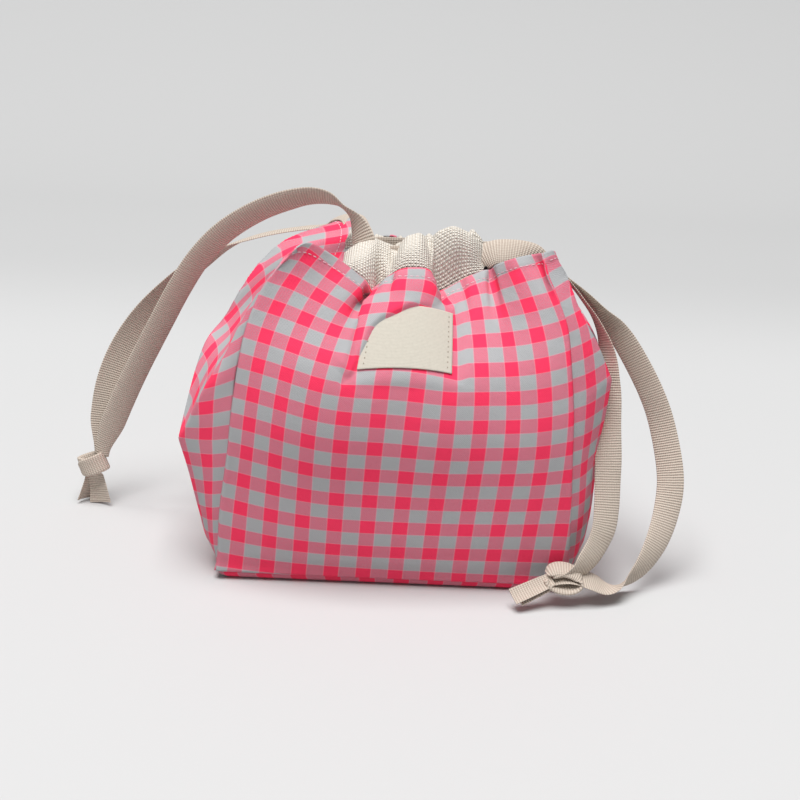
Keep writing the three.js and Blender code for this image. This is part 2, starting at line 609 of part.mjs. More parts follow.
// Tails: two tape ends fanned out below each knot
const LEFT_TAILS = {
  front: [
    [-187.2, 48, 17, 1, 0, 0], [-187.3, 47.9, 15.5, 1, 0, 0],
    [-187.6, 46, 9.5, 1, 0, 0], [-188, 43.5, 1, 1, 0, 0],
  ],
  back: [
    [-187.6, 49.9, 17, 1, 0, 0], [-187.8, 50, 15.5, 1, 0, 0],
    [-188.6, 51, 9.5, 1, 0.1, 0], [-190, 52.5, 2, 1, 0.2, 0],
  ],
};
const RIGHT_TAILS = {
  front: [
    [87.1, -73.2, 20.4, 0, -0.3, 1], [85, -73.5, 20, 0, -0.3, 1],
    [80, -77, 11.5, 0.3, -0.7, 0.7], [72.5, -81, 2.6, 0.5, -0.8, 0.25],
  ],
  back: [
    [87.1, -70.6, 20.9, 0, -0.3, 1], [84.7, -70.7, 20.7, 0, -0.3, 1],
    [77, -74, 15, 0.3, -0.6, 0.7], [68.5, -79, 6.2, 0.5, -0.75, 0.45],
  ],
};

const bag = new THREE.Group();

function add(name, geometry, material) {
  const mesh = new THREE.Mesh(geometry, material);
  mesh.name = name;
  bag.add(mesh);
}

const WALL_NAMES = { front: 'front_panel', right: 'right_gusset', back: 'back_panel', left: 'left_gusset' };
Object.entries(WALL_NAMES).forEach(([key, name]) => {
  add(name, layer(WALLS[key], 0, CLOTH), CHECKED_COTTON);
  add(`${key}_lining`, layer(WALLS[key], CLOTH + LAYER_GAP, LINING), LINING_COTTON);
});
add('base_panel', tray(0, 0, CLOTH), CHECKED_COTTON);
add('base_stiffener', stiffener(), FELT);
add('base_lining', tray(CLOTH + LAYER_GAP, CLOTH + STIFFENER + 2 * LAYER_GAP, LINING), LINING_COTTON);

add('front_casing', casing(WALLS.front, -1, CASING_FROM, CASING_TO), LINEN);
const backShare = (x) => {
  const columns = 400;
  const shares = Array.from({ length: columns + 1 }, (_, i) => i / columns);
  return shares.reduce((best, s) => (
    Math.abs(WALLS.back.foldAt(s).x - x) < Math.abs(WALLS.back.foldAt(best).x - x) ? s : best));
};
add('back_casing', casing(WALLS.back, 1, backShare(CASING_END), backShare(CASING_START)), LINEN);

add('label', patch(WALLS.front, LABEL_U, LABEL_V, LABEL_WIDTH, LABEL_HEIGHT,
  -LABEL_LIFT - LABEL_THICK, LABEL_THICK), LABEL_COTTON);
add('care_tag', patch(WALLS.front, TAG_AT, 1, TAG_WIDTH, TAG_HEIGHT, LAYERS + LAYER_GAP,
  TAG_THICK, -TAG_TUCK), TAG_SATIN);

add('left_tape_front_run', channelRun(-INNER_TAPE_Y), TAPE_COTTON);
add('left_tape_back_run', channelRun(OUTER_TAPE_Y), TAPE_COTTON);
add('right_tape_front_run', channelRun(-OUTER_TAPE_Y), TAPE_COTTON);
add('right_tape_back_run', channelRun(INNER_TAPE_Y), TAPE_COTTON);
add('left_tape_turn', slackTurn(CASING_END, 1, -INNER_TAPE_Y, OUTER_TAPE_Y), TAPE_COTTON);
add('right_tape_turn', slackTurn(CASING_START, -1, -OUTER_TAPE_Y, INNER_TAPE_Y), TAPE_COTTON);

const STRANDS = {
  left_front_strand: LEFT_FRONT_ROUTE,
  left_back_strand: LEFT_BACK_ROUTE,
  right_front_strand: RIGHT_FRONT_ROUTE,
  right_back_strand: RIGHT_BACK_ROUTE,
};
Object.entries(STRANDS).forEach(([name, route]) => {
  add(name, tape(route, 36, TAPE_WIDTH, STRAND_END_WIDTH), TAPE_COTTON);
});
add('left_knot', knot(knotCurve(...LEFT_KNOT)), TAPE_COTTON);
add('right_knot', knot(knotCurve(...RIGHT_KNOT)), TAPE_COTTON);
Object.entries({ left: LEFT_TAILS, right: RIGHT_TAILS }).forEach(([side, tails]) => {
  Object.entries(tails).forEach(([place, route]) => {
    add(`${side}_${place}_tail`, tape(route, 6, STRAND_END_WIDTH, TAPE_WIDTH, 0.8), TAPE_COTTON);
  });
});

export default bag;
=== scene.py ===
"""Looks of the drawstring project bag: relaxed cloth walls, a gathered linen casing, ribbed tapes,
knots, a sewn label and the studio round them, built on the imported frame. Lengths are metres."""

import bpy
import numpy as np
from bpy.props import FloatProperty, FloatVectorProperty, PointerProperty
from bpy.types import Operator, Panel, PropertyGroup
from mathutils import Matrix


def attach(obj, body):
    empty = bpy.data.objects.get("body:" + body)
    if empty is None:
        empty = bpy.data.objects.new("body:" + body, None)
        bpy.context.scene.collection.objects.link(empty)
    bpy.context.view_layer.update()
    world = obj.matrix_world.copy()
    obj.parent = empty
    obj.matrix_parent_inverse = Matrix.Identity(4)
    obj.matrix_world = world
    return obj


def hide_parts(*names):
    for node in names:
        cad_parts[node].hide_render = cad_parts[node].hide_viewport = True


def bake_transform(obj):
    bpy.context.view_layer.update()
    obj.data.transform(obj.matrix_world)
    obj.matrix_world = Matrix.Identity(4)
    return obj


bl_info = {
    "name": "Drawstring Project Bag",
    "version": (1, 0, 0),
    "blender": (4, 5, 0),
    "location": "View3D > Sidebar > Bag",
    "description": "Dresses the frame of a soft drawstring bag in cloth, linen and tape",
    "category": "Object",
}

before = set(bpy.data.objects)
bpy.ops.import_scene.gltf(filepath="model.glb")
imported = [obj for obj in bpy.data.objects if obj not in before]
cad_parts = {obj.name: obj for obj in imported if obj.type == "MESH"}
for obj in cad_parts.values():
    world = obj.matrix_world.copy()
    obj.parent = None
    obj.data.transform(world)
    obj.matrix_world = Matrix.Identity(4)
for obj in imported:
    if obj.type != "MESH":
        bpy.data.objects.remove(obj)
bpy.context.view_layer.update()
MM = 0.001

# Cloth as it was cut: width between the seams and height from the base seam to the hem
WIDE_CUT = (0.210, 0.203)
GUSSET_CUT = (0.1254, 0.203)
WALL_CUTS = {"front": WIDE_CUT, "right": GUSSET_CUT, "back": WIDE_CUT, "left": GUSSET_CUT}
WALL_NODES = {"front": "front_panel", "right": "right_gusset", "back": "back_panel", "left": "left_gusset"}

# Base: half its length and depth
BASE_HALF = (0.105, 0.058)

# Channel of the casing: its height, its two ends, the gap there, and the tapes' distances from its middle
CHANNEL_Z = 0.188
CASING_ENDS = (-0.0216, 0.0409)
EXIT_GAP = 0.0003
NEAR_TAPE = 0.0091
FAR_TAPE = 0.0109

# Corner seams from the base up to the hem
FRONT_LEFT_SEAM = MM * np.array([
    (-105, -58, 6), (-102.7, -63.1, 45.6), (-99.6, -65.9, 69), (-97.3, -67.8, 87.5), (-95.8, -68.5, 106.5),
    (-94.3, -67.5, 120.6), (-91.5, -66, 139.8), (-88.6, -62.5, 155.2), (-83.8, -59.2, 169.6),
    (-77.7, -55.8, 182.7), (-73.9, -54.4, 187.6), (-67.8, -52, 195.9), (-60.7, -50, 202.7)])
FRONT_RIGHT_SEAM = MM * np.array([
    (105, -58, 6), (104, -61, 33.4), (101.6, -64.7, 73.7), (100.1, -64.7, 110.6), (98.7, -62.7, 126.4),
    (96.4, -60.1, 143.3), (93.7, -55, 160.9), (91.3, -52.9, 168.4), (85.8, -48.4, 180.6),
    (80, -43.6, 191), (77, -38.1, 202.4)])
BACK_RIGHT_SEAM = MM * np.array([
    (105, 58, 6), (104, 63, 40), (101.5, 66, 80), (98.5, 65, 115), (94.5, 60, 145), (88, 52, 168),
    (81, 42, 186)])
BACK_LEFT_SEAM = MM * np.array([
    (-105, 58, 6), (-103, 64, 45), (-100, 67, 85), (-95, 66, 120), (-85, 61, 150), (-66, 54, 178),
    (-37.6, 44, 198.2)])

# Hems, each from its left corner to its right one seen from outside, at even steps of cloth
FRONT_HEM = MM * np.array([
    (-60.7, -50, 202.7), (-55.8, -47.4, 205.1), (-51.1, -44.5, 203.8), (-46.7, -42.3, 200.8),
    (-42.3, -40.1, 197.5), (-37.8, -38.4, 194.1), (-32.9, -37.9, 190.5), (-28.1, -37.5, 186.7),
    (-23.5, -37, 182.9), (-19.9, -35.9, 178.4), (-17.3, -35.1, 173.3), (-15.7, -30, 174.4),
    (-13.5, -27.6, 177.3), (-10.8, -30.1, 181.3), (-7.2, -30.4, 184.4), (-3.1, -32.7, 187.3),
    (1.6, -31.8, 188.7), (7.6, -31.4, 188.9), (13, -30.1, 188), (15.7, -28.3, 183.7),
    (16.5, -25.6, 178.6), (17.5, -22.5, 174.1), (21, -18.6, 172.3), (26.5, -17.8, 174.9),
    (32.1, -17.1, 178.1), (36.1, -19, 181.2), (41.5, -18.6, 183.8), (47.5, -18.2, 186.2),
    (49.6, -15.5, 185.4), (51.6, -22.4, 190), (55.5, -25.7, 192.8), (59, -29.3, 195.2),
    (63.2, -31.9, 197.4), (69, -31.9, 199.1), (73.8, -33.8, 200.7), (77, -38.1, 202.4)])
RIGHT_HEM = MM * np.array([
    (77, -38.1, 202.4), (82.9, -34, 203), (86, -25, 194), (84, -14, 183), (80, 0, 178), (79, 12, 179),
    (80, 24, 182), (82, 34, 186), (81, 42, 186)])
BACK_HEM = MM * np.array([
    (81, 42, 186), (70, 36, 187), (58, 28, 185), (47, 23, 181), (36, 24, 184), (26, 26, 188),
    (15, 22, 186), (5, 19, 189), (-4, 20, 194), (-12, 23, 194), (-20, 28, 190), (-28, 35, 193),
    (-37.6, 44, 198.2)])
LEFT_HEM = MM * np.array([
    (-37.6, 44, 198.2), (-33.6, 38, 199.7), (-30.1, 28, 197.8), (-29.5, 16, 195.2), (-31, 5, 190),
    (-37, -8, 182), (-45, -24, 178), (-54, -38, 184), (-59, -46, 195), (-60.7, -50, 202.7)])

# Folds of the gussets: the ridge from the base up to the tip of the swelling, then the creases from
# there to the left and the right corner of the hem
LEFT_FOLDS = [MM * np.array(line) for line in (
    [(-105, -25, 6), (-112.5, -33, 12.8), (-117.9, -41, 38.1), (-123, -45, 63.6), (-128.6, -47, 85)],
    [(-126.3, -32, 99.5), (-122.7, -15, 117.8), (-118.4, 2, 130.8), (-110.1, 18, 139.9), (-102.4, 33, 153.4),
     (-91.9, 41, 168.9), (-77.5, 45, 182.6), (-59.7, 46, 190.8), (-37.6, 44, 198.2)],
    [(-121.9, -54, 97.6), (-116.1, -59, 111.9), (-110.3, -62, 123.3), (-101.8, -61, 138), (-91, -57, 161.6),
     (-78.6, -54, 183.3), (-60.7, -50, 202.7)])]
RIGHT_FOLDS = [MM * np.array(line) for line in (
    [(105, -25, 6), (113.7, -30, 16.9), (117.4, -32, 36.7), (118.4, -34, 58), (118.3, -36, 84),
     (121, -37, 106.6), (122.7, -38, 129.3)],
    [(113.2, -42, 149.7), (106.5, -43, 161.1), (99.4, -42, 172.3), (88.9, -36, 190.8), (77, -38.1, 202.4)],
    [(118.8, -15, 134.4), (116.9, 0, 142), (111.7, 14, 150), (105.2, 28, 157.1), (81, 42, 186)])]

# Free tapes: place and width direction at each stop, from the casing to the knot
LEFT_EXIT = 1000 * (CASING_ENDS[0] - EXIT_GAP)
RIGHT_EXIT = 1000 * (CASING_ENDS[1] + EXIT_GAP)
ROUTES = {
    "left_front_strand": [
        (LEFT_EXIT, -9.1, 188, 0, 0, -1), (LEFT_EXIT - 2, -9.5, 191, -0.4, 0.2, -0.9),
        (-25.5, -8.5, 198, -0.75, 0.45, -0.5), (-29.6, -4.5, 206.5, -0.55, 0.8, -0.35),
        (-36, 0, 214.5, 0.1, 1, -0.3), (-45.5, 3, 218.8, 0, 0.8, -0.6), (-56, 5, 219.5, 0, 0.65, -0.75),
        (-69, 6.5, 216.5, 0, 0.55, -0.85), (-88, 11, 208, 0.2, 0.5, -0.85),
        (-109, 17, 193, 0.4, 0.45, -0.8), (-125, 22, 175, 0.55, 0.45, -0.7),
        (-138, 26, 154, 0.65, 0.4, -0.6), (-151, 31, 129, 0.7, 0.35, -0.55),
        (-169, 37, 93, 0.75, 0.3, -0.5), (-182, 41, 64, 0.8, 0.2, -0.4), (-191.5, 43.5, 41, 1, 0, 0),
        (-193, 44, 34, 1, 0, 0)],
    "left_back_strand": [
        (LEFT_EXIT, 10.9, 188, 0, 0, 1), (LEFT_EXIT - 3, 13, 187.5, 0.1, 0.2, 1),
        (-26.5, 22, 189.5, 0.7, 0.3, 0.6), (-29.5, 33, 195.2, 0.95, 0.3, 0.1),
        (-34, 44, 199.3, 0.8, 0.5, 0.1), (-42, 53, 197, 0.6, 0.8, 0.1), (-51, 58, 190, 0.3, 0.95, 0),
        (-63, 60, 188, 0.1, 1, -0.1), (-83, 61, 184, 0, 1, -0.1), (-99, 62, 179, 0.1, 0.95, -0.1),
        (-115, 62, 172, 0.3, 0.8, -0.2), (-132, 61, 161, 0.5, 0.65, -0.5), (-151, 59, 144, 0.6, 0.5, -0.6),
        (-167, 57, 126, 0.7, 0.35, -0.6), (-180, 54, 105, 0.8, 0.2, -0.5), (-188, 51, 84, 0.9, 0.1, -0.3),
        (-192, 48.5, 62, 1, 0, -0.1), (-193.2, 46.4, 41, 1, 0, 0), (-193.5, 46.2, 34, 1, 0, 0)],
    "right_back_strand": [
        (RIGHT_EXIT, 9.1, 188, 0, 0, 1), (RIGHT_EXIT + 4, 9.1, 188, 0, 0, 1), (56, 7, 189, 0, -0.1, 1),
        (68, 4, 189.5, 0, -0.4, 0.9), (80, 0, 187.5, -0.05, -0.85, 0.5),
        (93.7, -3.5, 180.2, -0.1, -0.95, 0.3), (102, -3, 173.9, -0.05, -0.95, 0.35),
        (108.7, -3, 167.7, 0.1, -0.93, 0.4), (116.8, -4, 158.5, 0.4, -0.8, 0.45),
        (125.8, -5, 150.2, 0.65, -0.6, 0.45), (135.4, -8, 137.8, 0.78, -0.45, 0.45),
        (150.2, -13, 113, 0.86, -0.38, 0.32), (158.1, -17, 93.7, 0.9, -0.35, 0.25),
        (164.5, -28, 63.4, 0.97, -0.2, 0.1), (162.5, -36, 44, 0.97, 0.1, -0.15),
        (156, -46, 27.5, 0.85, 0.35, -0.4), (147, -54, 15.5, 0.6, 0.6, -0.55),
        (137, -60, 9.5, 0.4, 0.8, -0.4), (126, -66, 9.5, 0.25, 0.95, 0), (116, -69.5, 14, 0.1, 0.95, 0.2),
        (107.4, -71, 17, 0, 0.95, 0.3), (99, -72.5, 17, 0, 0.95, 0.3), (92, -74, 16, 0, 0.9, 0.4)],
    "right_front_strand": [
        (RIGHT_EXIT, -10.9, 188, 0, 0, 1), (46, -11.8, 192.5, 0, 0.45, 0.9),
        (52, -13, 195.8, 0, 0.65, 0.75), (60, -14, 196.6, 0, 0.65, 0.75), (69, -14.5, 195.4, 0, 0.45, 0.9),
        (78, -14, 191, 0, -0.5, 0.86), (85, -13, 186.3, -0.05, -0.92, 0.35),
        (92.7, -14, 182.6, -0.1, -0.95, 0.28), (99.6, -14, 175.6, -0.1, -0.95, 0.28),
        (106, -15, 167.7, -0.05, -0.96, 0.27), (111.1, -16, 160.9, 0.05, -0.96, 0.25),
        (115.7, -18, 152.5, 0.2, -0.94, 0.25), (118.8, -20, 144.7, 0.4, -0.88, 0.2),
        (120.8, -22, 135.5, 0.6, -0.77, 0.15), (122, -25, 124.1, 0.75, -0.64, 0.1),
        (122.6, -28, 114.6, 0.88, -0.45, 0), (123, -33, 98.9, 0.97, -0.2, 0),
        (124.3, -41, 79.3, 1, 0.05, 0), (124.5, -45, 68.9, 0.98, 0.15, -0.1),
        (124.5, -51, 54.2, 0.95, 0.2, -0.2), (123.4, -56, 42.9, 0.88, 0.25, -0.4),
        (120, -60, 34.5, 0.75, 0.3, -0.6), (114.1, -66.5, 27, 0.6, 0.35, -0.7),
        (108, -70.5, 21.5, 0.45, 0.55, -0.7), (100, -72, 18.5, 0.2, 0.85, -0.5),
        (93, -73.5, 17.5, 0.1, 0.9, -0.4)],
}
# Hollow across each strand's width, as a share of half of it
CUPS = {"left_front_strand": -0.22, "left_back_strand": 0.1,
        "right_back_strand": -0.12, "right_front_strand": -0.12}
# Cut tails below the knots, given as the free tapes are
TAILS = {
    "left_front_tail": [
        (-197, 45, 21, 1, -0.2, 0), (-196.5, 44.6, 16, 1, -0.3, 0), (-195, 43.6, 9, 0.95, -0.4, 0.1),
        (-194, 42.5, 1.6, 0.95, -0.35, 0.2)],
    "left_back_tail": [
        (-199, 47, 21, 1, 0.2, 0), (-200, 47, 16, 0.9, 0.5, 0), (-202.5, 47.5, 9, 0.75, 0.65, 0.1),
        (-205, 48, 1.6, 0.7, 0.7, 0.1)],
    "right_front_tail": [
        (93, -75, 17.5, 0.36, -0.72, -0.59), (88, -76.8, 15.6, 0.36, -0.72, -0.59),
        (80, -79.6, 12.6, 0.36, -0.72, -0.59), (70, -83, 9, 0.36, -0.72, -0.59)],
    "right_back_tail": [
        (94, -74, 15.2, 0.36, -0.72, -0.59), (89, -75.8, 13.4, 0.36, -0.72, -0.59),
        (82, -78.2, 10.6, 0.36, -0.72, -0.59), (73.5, -81.2, 7.2, 0.36, -0.72, -0.59)],
}
# Knots: middle of the wrap, way of the bundle through it and its wide way, half sizes of the wrap, turns
# and first turn of its band, and how far the band climbs along the bundle and leans from it
KNOTS = {
    "left_knot": {
        "centre": (-199, 45.5, 28), "bundle": (0.36, -0.12, -0.92), "wide": (1, -0.2, 0.35),
        "halves": (7.8, 5.0), "turns": 1.12, "first": 0.3, "climb": 2.0, "lean": 0.0},
    "right_knot": {
        "centre": (99.6, -72.5, 17.4), "bundle": (0.1, -0.97, 0.2), "wide": (1, 0.1, -0.2),
        "halves": (9.2, 4.9), "turns": -0.92, "first": 0.48, "climb": 2.0, "lean": 0.65},
}
# Widths of the knots' bands, and of tape that is bunched at a knot or where a tail leaves it
KNOT_WIDTHS = {"left_knot": 0.0125, "right_knot": 0.0115}
KNOT_THICK = 0.0028
STRAND_BUNCHED = 0.009
TAIL_BUNCHED = 0.008

# Gathers of the casing from left to right: places of the folds between its lobes at the hem and, in
# front, at the top, and the height of the top along it
FRONT_FOLDS_X = MM * np.array([-36, -15.5, 18, 46])
FRONT_TOPS_X = MM * np.array([-36, -5, 13, 46])
FRONT_CREST = MM * np.array([
    (-36, 193), (-27, 196), (-16, 196.5), (-8, 197.5), (-1, 199.5), (6, 202), (14, 203.5), (19, 206),
    (26, 206), (37, 204.5), (46, 200)])
BACK_FOLDS_X = MM * np.array([-36, -22, -10, 4, 20, 33, 46])
BACK_CREST = MM * np.array([(-36, 197), (-22, 195), (-10, 191), (2, 191), (14, 196), (30, 200), (46, 199)])

# Shift of the checks over the front, across and up, at rows of controls from the base to the hem
FRONT_ACROSS = MM * np.array([
    (3.4, 3.6, 3.7, 3.6, 4, 5.3, 7),
    (1.7, 2.1, 2.5, 3.1, 4.4, 4.9, 4.2),
    (0.5, 1, 1.7, 2.2, 2.8, 2.1, 0.4),
    (0.1, 3, 4.4, 2.2, -2.2, -4.7, -4.3),
    (0.2, 5.5, 7.1, 2, -5.4, -7.9, -6.1),
    (0.2, 3, 3.4, -0.1, -4.9, -5.5, -3.4),
    (-0.3, -0.6, -0.7, -0.4, -0.8, -0.4, 0.8)])
FRONT_UP = MM * np.array([
    (-4.3, -2.9, -1.2, 1.3, 2.8, 2.8, 2.8),
    (-6.6, -4.7, -3.4, -4.1, -4.8, -2.6, 1.2),
    (-8.3, -6.7, -4.7, -4.8, -5, -2.1, 0.4),
    (-8.4, -8.6, -7.7, -4.2, 0.1, 2.4, 0.3),
    (-7.1, -6.2, -6.9, -5, 0.8, 4.4, 0.8),
    (-5.1, -0.7, 0.4, 0.2, 2.6, 4.5, 0.8),
    (-2.2, 3.7, 6.9, 7.3, 6, 3.7, 0.2)])

# Label and care tag on the front: flat places of their lower left corners, and the line of the fold
# that lies over the label
LABEL_START = (0.0722, 0.1444)
LABEL_LIFT = 0.0011
FOLD_LINE = MM * np.array([
    (69.5, 138), (72, 144.5), (76.2, 156.1), (80, 166.5), (83.8, 169.8), (88.8, 172), (92.5, 173.8),
    (97.5, 176.4), (101.2, 177.8), (112.5, 180), (122, 182)])
TAG_START = (0.1585, 0.1935)
TAG_SIZE = (0.0102, 0.012)

# Soft lamp: place, aim, side and power, and the strength of the light from all round
LAMP_FROM = (-0.4, -1.1, 4.85)
LAMP_AIM = (0, 0, 0.1)
LAMP_SIZE = 3.0
LAMP_POWER = 348.0
WORLD_STRENGTH = 0.26

# Camera fitted to the corners of the base and the hem
VIEW_FROM = (0.000232, -0.84572, 0.40501)
VIEW_DOWN = 20.0
VIEW_ROLL = 2.359
VIEW_LENS = 66.31
VIEW_SENSOR = 36.0


def measure(name, description, default, least):
    """Length property with the usual settings."""
    return FloatProperty(name=name, description=description, default=default, min=least, unit="LENGTH")


class BagSizes(PropertyGroup):
    """Sizes that a maker would change."""

    check_across: measure("Check Across", "Repeat of the checks across the cloth", 0.01909, 0.005)
    check_up: measure("Check Up", "Repeat of the checks up the cloth", 0.0175, 0.005)
    cloth_thick: measure("Cloth", "Thickness of the checked cotton", 0.001, 0.0003)
    hem_depth: measure("Hem", "Hem edge down to its row of stitches", 0.006, 0.002)
    stitch: measure("Stitch", "Length of one stitch with its gap", 0.0034, 0.001)
    tape_width: measure("Tape Width", "Width of the drawstring tape", 0.016, 0.004)
    tape_thick: measure("Tape Thickness", "Thickness of the drawstring tape", 0.0012, 0.0004)
    label_width: measure("Label Width", "Width of the sewn label", 0.0585, 0.01)
    label_height: measure("Label Height", "Height of the sewn label", 0.0368, 0.01)


def paint(name, description, default):
    """Colour property with the usual settings."""
    return FloatVectorProperty(name=name, description=description, default=default, subtype="COLOR",
                               size=3, min=0.0, max=1.0)


class BagColours(PropertyGroup):
    """Colours of the cloths, as linear values."""

    pink: paint("Pink", "Pink stripes of the checked cotton", (0.98, 0.048, 0.125))
    grey: paint("Grey", "Grey stripes of the checked cotton", (0.42, 0.425, 0.435))
    mixed: paint("Mixed", "Tint of the cells where unlike stripes cross", (0.28, 0.03, 0.26))
    edge: paint("Check Edges", "Pale threads along the stripes", (0.95, 0.72, 0.77))
    lining: paint("Lining", "Plain inner cloth", (0.69, 0.67, 0.64))
    felt: paint("Felt", "Stiffener under the base", (0.51, 0.48, 0.44))
    linen: paint("Linen", "Yarns of the casing", (0.88, 0.84, 0.77))
    linen_gap: paint("Linen Gaps", "Shade between the yarns of the casing", (0.46, 0.39, 0.32))
    tape: paint("Tape", "Ribs of the tape", (0.64, 0.56, 0.48))
    tape_gap: paint("Tape Gaps", "Shade between the ribs of the tape", (0.43, 0.345, 0.285))
    label: paint("Label", "Label cloth", (0.66, 0.615, 0.53))
    label_thread: paint("Label Thread", "Stitches beside the label", (0.40, 0.34, 0.27))
    thread: paint("Thread", "Hem stitches", (0.95, 0.62, 0.68))
    tag: paint("Tag", "Care tag", (0.008, 0.008, 0.010))
    floor: paint("Floor", "Studio floor", (0.545, 0.545, 0.545))
    # Painted shade: the far part of the floor is darker only to stand in for the lesser light on the raised
    # back
    backdrop_shade: paint("Backdrop", "Far part of the studio floor", (0.48, 0.48, 0.48))


def through(stops, fine=24):
    """Centripetal Catmull-Rom curve through stops, fine samples for each span; columns past the
    third, such as a width direction, are carried along."""
    stops = np.asarray(stops, float)
    ends = np.vstack([2 * stops[0] - stops[1], stops, 2 * stops[-1] - stops[-2]])
    gaps = np.sqrt(np.linalg.norm(np.diff(ends[:, :3], axis=0), axis=1))
    knots = np.r_[0, np.cumsum(gaps)]
    span = np.repeat(np.arange(len(stops) - 1), fine)
    share = np.tile(np.arange(fine) / fine, len(stops) - 1)
    t0, t1, t2, t3 = (knots[span + i][:, None] for i in range(4))
    p0, p1, p2, p3 = (ends[span + i] for i in range(4))
    t = t1 + share[:, None] * (t2 - t1)

    def blend(a, b, start, end):
        return ((end - t) * a + (t - start) * b) / (end - start)

    first, second, third = blend(p0, p1, t0, t1), blend(p1, p2, t1, t2), blend(p2, p3, t2, t3)
    curve = blend(blend(first, second, t0, t2), blend(second, third, t1, t3), t1, t2)
    return np.vstack([curve, stops[-1]])


def lengths(curve):
    """Distance of each sample from the start of its curve."""
    return np.r_[0, np.cumsum(np.linalg.norm(np.diff(curve[:, :3], axis=0), axis=1))]


def spaced(curve, count):
    """The curve at count places, even steps of length apart."""
    reach = lengths(curve)
    places = np.linspace(0, reach[-1], count)
    return np.stack([np.interp(places, reach, column) for column in curve.T], 1)


def by_stops(stops, count):
    """The curve through stops at count places, even shares of the stops apart."""
    curve = through(stops)
    places = np.linspace(0, len(curve) - 1, count)
    return np.stack([np.interp(places, np.arange(len(curve)), column) for column in curve.T], 1)


def unit(vectors):
    """Vectors scaled to length one."""
    return vectors / (np.linalg.norm(vectors, axis=-1, keepdims=True) + 1e-12)


def smooth(share):
    """Smooth step of a share from 0 to 1."""
    return share ** 2 * (3 - 2 * share)


def facing(grid):
    """Outward unit normals of a grid whose columns run right and rows run up, seen from outside."""
    return unit(np.cross(np.gradient(grid, axis=1), np.gradient(grid, axis=0)))


def patch(left, right, foot, hem):
    """Coons patch: the blend of the side curves plus the blend of the end curves, less the
    bilinear blend of the corners."""
    u = np.linspace(0, 1, len(foot))[None, :, None]
    v = np.linspace(0, 1, len(left))[:, None, None]
    sides = left[:, None] * (1 - u) + right[:, None] * u
    ends = foot[None] * (1 - v) + hem[None] * v
    corners = (left[0] * (1 - u) + right[0] * u) * (1 - v) + (left[-1] * (1 - u) + right[-1] * u) * v
    return sides + ends - corners


def draw_to(a, b, free_a, free_b, rest, stiff):
    """Move two views of one grid along their joining lines until each pair is rest apart."""
    apart = b - a
    far = np.linalg.norm(apart, axis=-1, keepdims=True) + 1e-12
    move = stiff * (far - rest) / far * apart / np.maximum(free_a + free_b, 1e-9)
    a += move * free_a
    b -= move * free_b


def relax(grid, cut, free, rounds, push, shear=0.05, bend=0.05):
    """Position-based cloth. Each round carries the points on with damped speed and an outward
    push, draws neighbours along both threads to their flat distance and diagonals softly to
    theirs, and evens the bends. Points whose free is 0 stay."""
    rows, columns = grid.shape[:2]
    across, up = cut[0] / (columns - 1), cut[1] / (rows - 1)
    slant = np.hypot(across, up)
    grid = grid.copy()
    before = grid.copy()
    for _ in range(rounds):
        speed = 0.85 * (grid - before)
        before = grid.copy()
        grid += (speed + push * facing(grid)) * free
        for _ in range(2):
            for k in (0, 1):
                draw_to(grid[:, k:-1:2], grid[:, k + 1::2], free[:, k:-1:2], free[:, k + 1::2], across, 1)
                draw_to(grid[k:-1:2], grid[k + 1::2], free[k:-1:2], free[k + 1::2], up, 1)
            for i in (0, 1):
                for j in (0, 1):
                    low, high = slice(i, -1, 2), slice(i + 1, None, 2)
                    near, far = slice(j, -1, 2), slice(j + 1, None, 2)
                    draw_to(grid[low, near], grid[high, far], free[low, near], free[high, far], slant, shear)
                    draw_to(grid[low, far], grid[high, near], free[low, far], free[high, near], slant, shear)
        level = np.zeros_like(grid)
        level[1:-1] += (grid[2:] + grid[:-2]) / 2 - grid[1:-1]
        level[:, 1:-1] += (grid[:, 2:] + grid[:, :-2]) / 2 - grid[:, 1:-1]
        grid += bend * level * free
    return grid


def finer(grid):
    """Twice as fine a grid, with four-point cubic midpoints in both directions."""
    for _ in range(2):
        ends = np.concatenate([2 * grid[:1] - grid[1:2], grid, 2 * grid[-1:] - grid[-2:-1]])
        middle = (9 * (ends[1:-2] + ends[2:-1]) - ends[:-3] - ends[3:]) / 16
        dense = np.empty((2 * len(grid) - 1,) + grid.shape[1:])
        dense[0::2] = grid
        dense[1::2] = middle
        grid = np.swapaxes(dense, 0, 1)
    return grid


def soften(grid, rounds):
    """Even out a grid's inner points towards the mean of their four neighbours."""
    for _ in range(rounds):
        inner = (grid[2:, 1:-1] + grid[:-2, 1:-1] + grid[1:-1, 2:] + grid[1:-1, :-2]) / 4
        grid[1:-1, 1:-1] += 0.5 * (inner - grid[1:-1, 1:-1])
    return grid


def quads(index):
    """Faces between neighbours of a grid of vertex numbers; they face the viewer where columns
    run right and rows run up."""
    return np.stack([index[:-1, :-1], index[:-1, 1:], index[1:, 1:], index[1:, :-1]], -1).reshape(-1, 4)


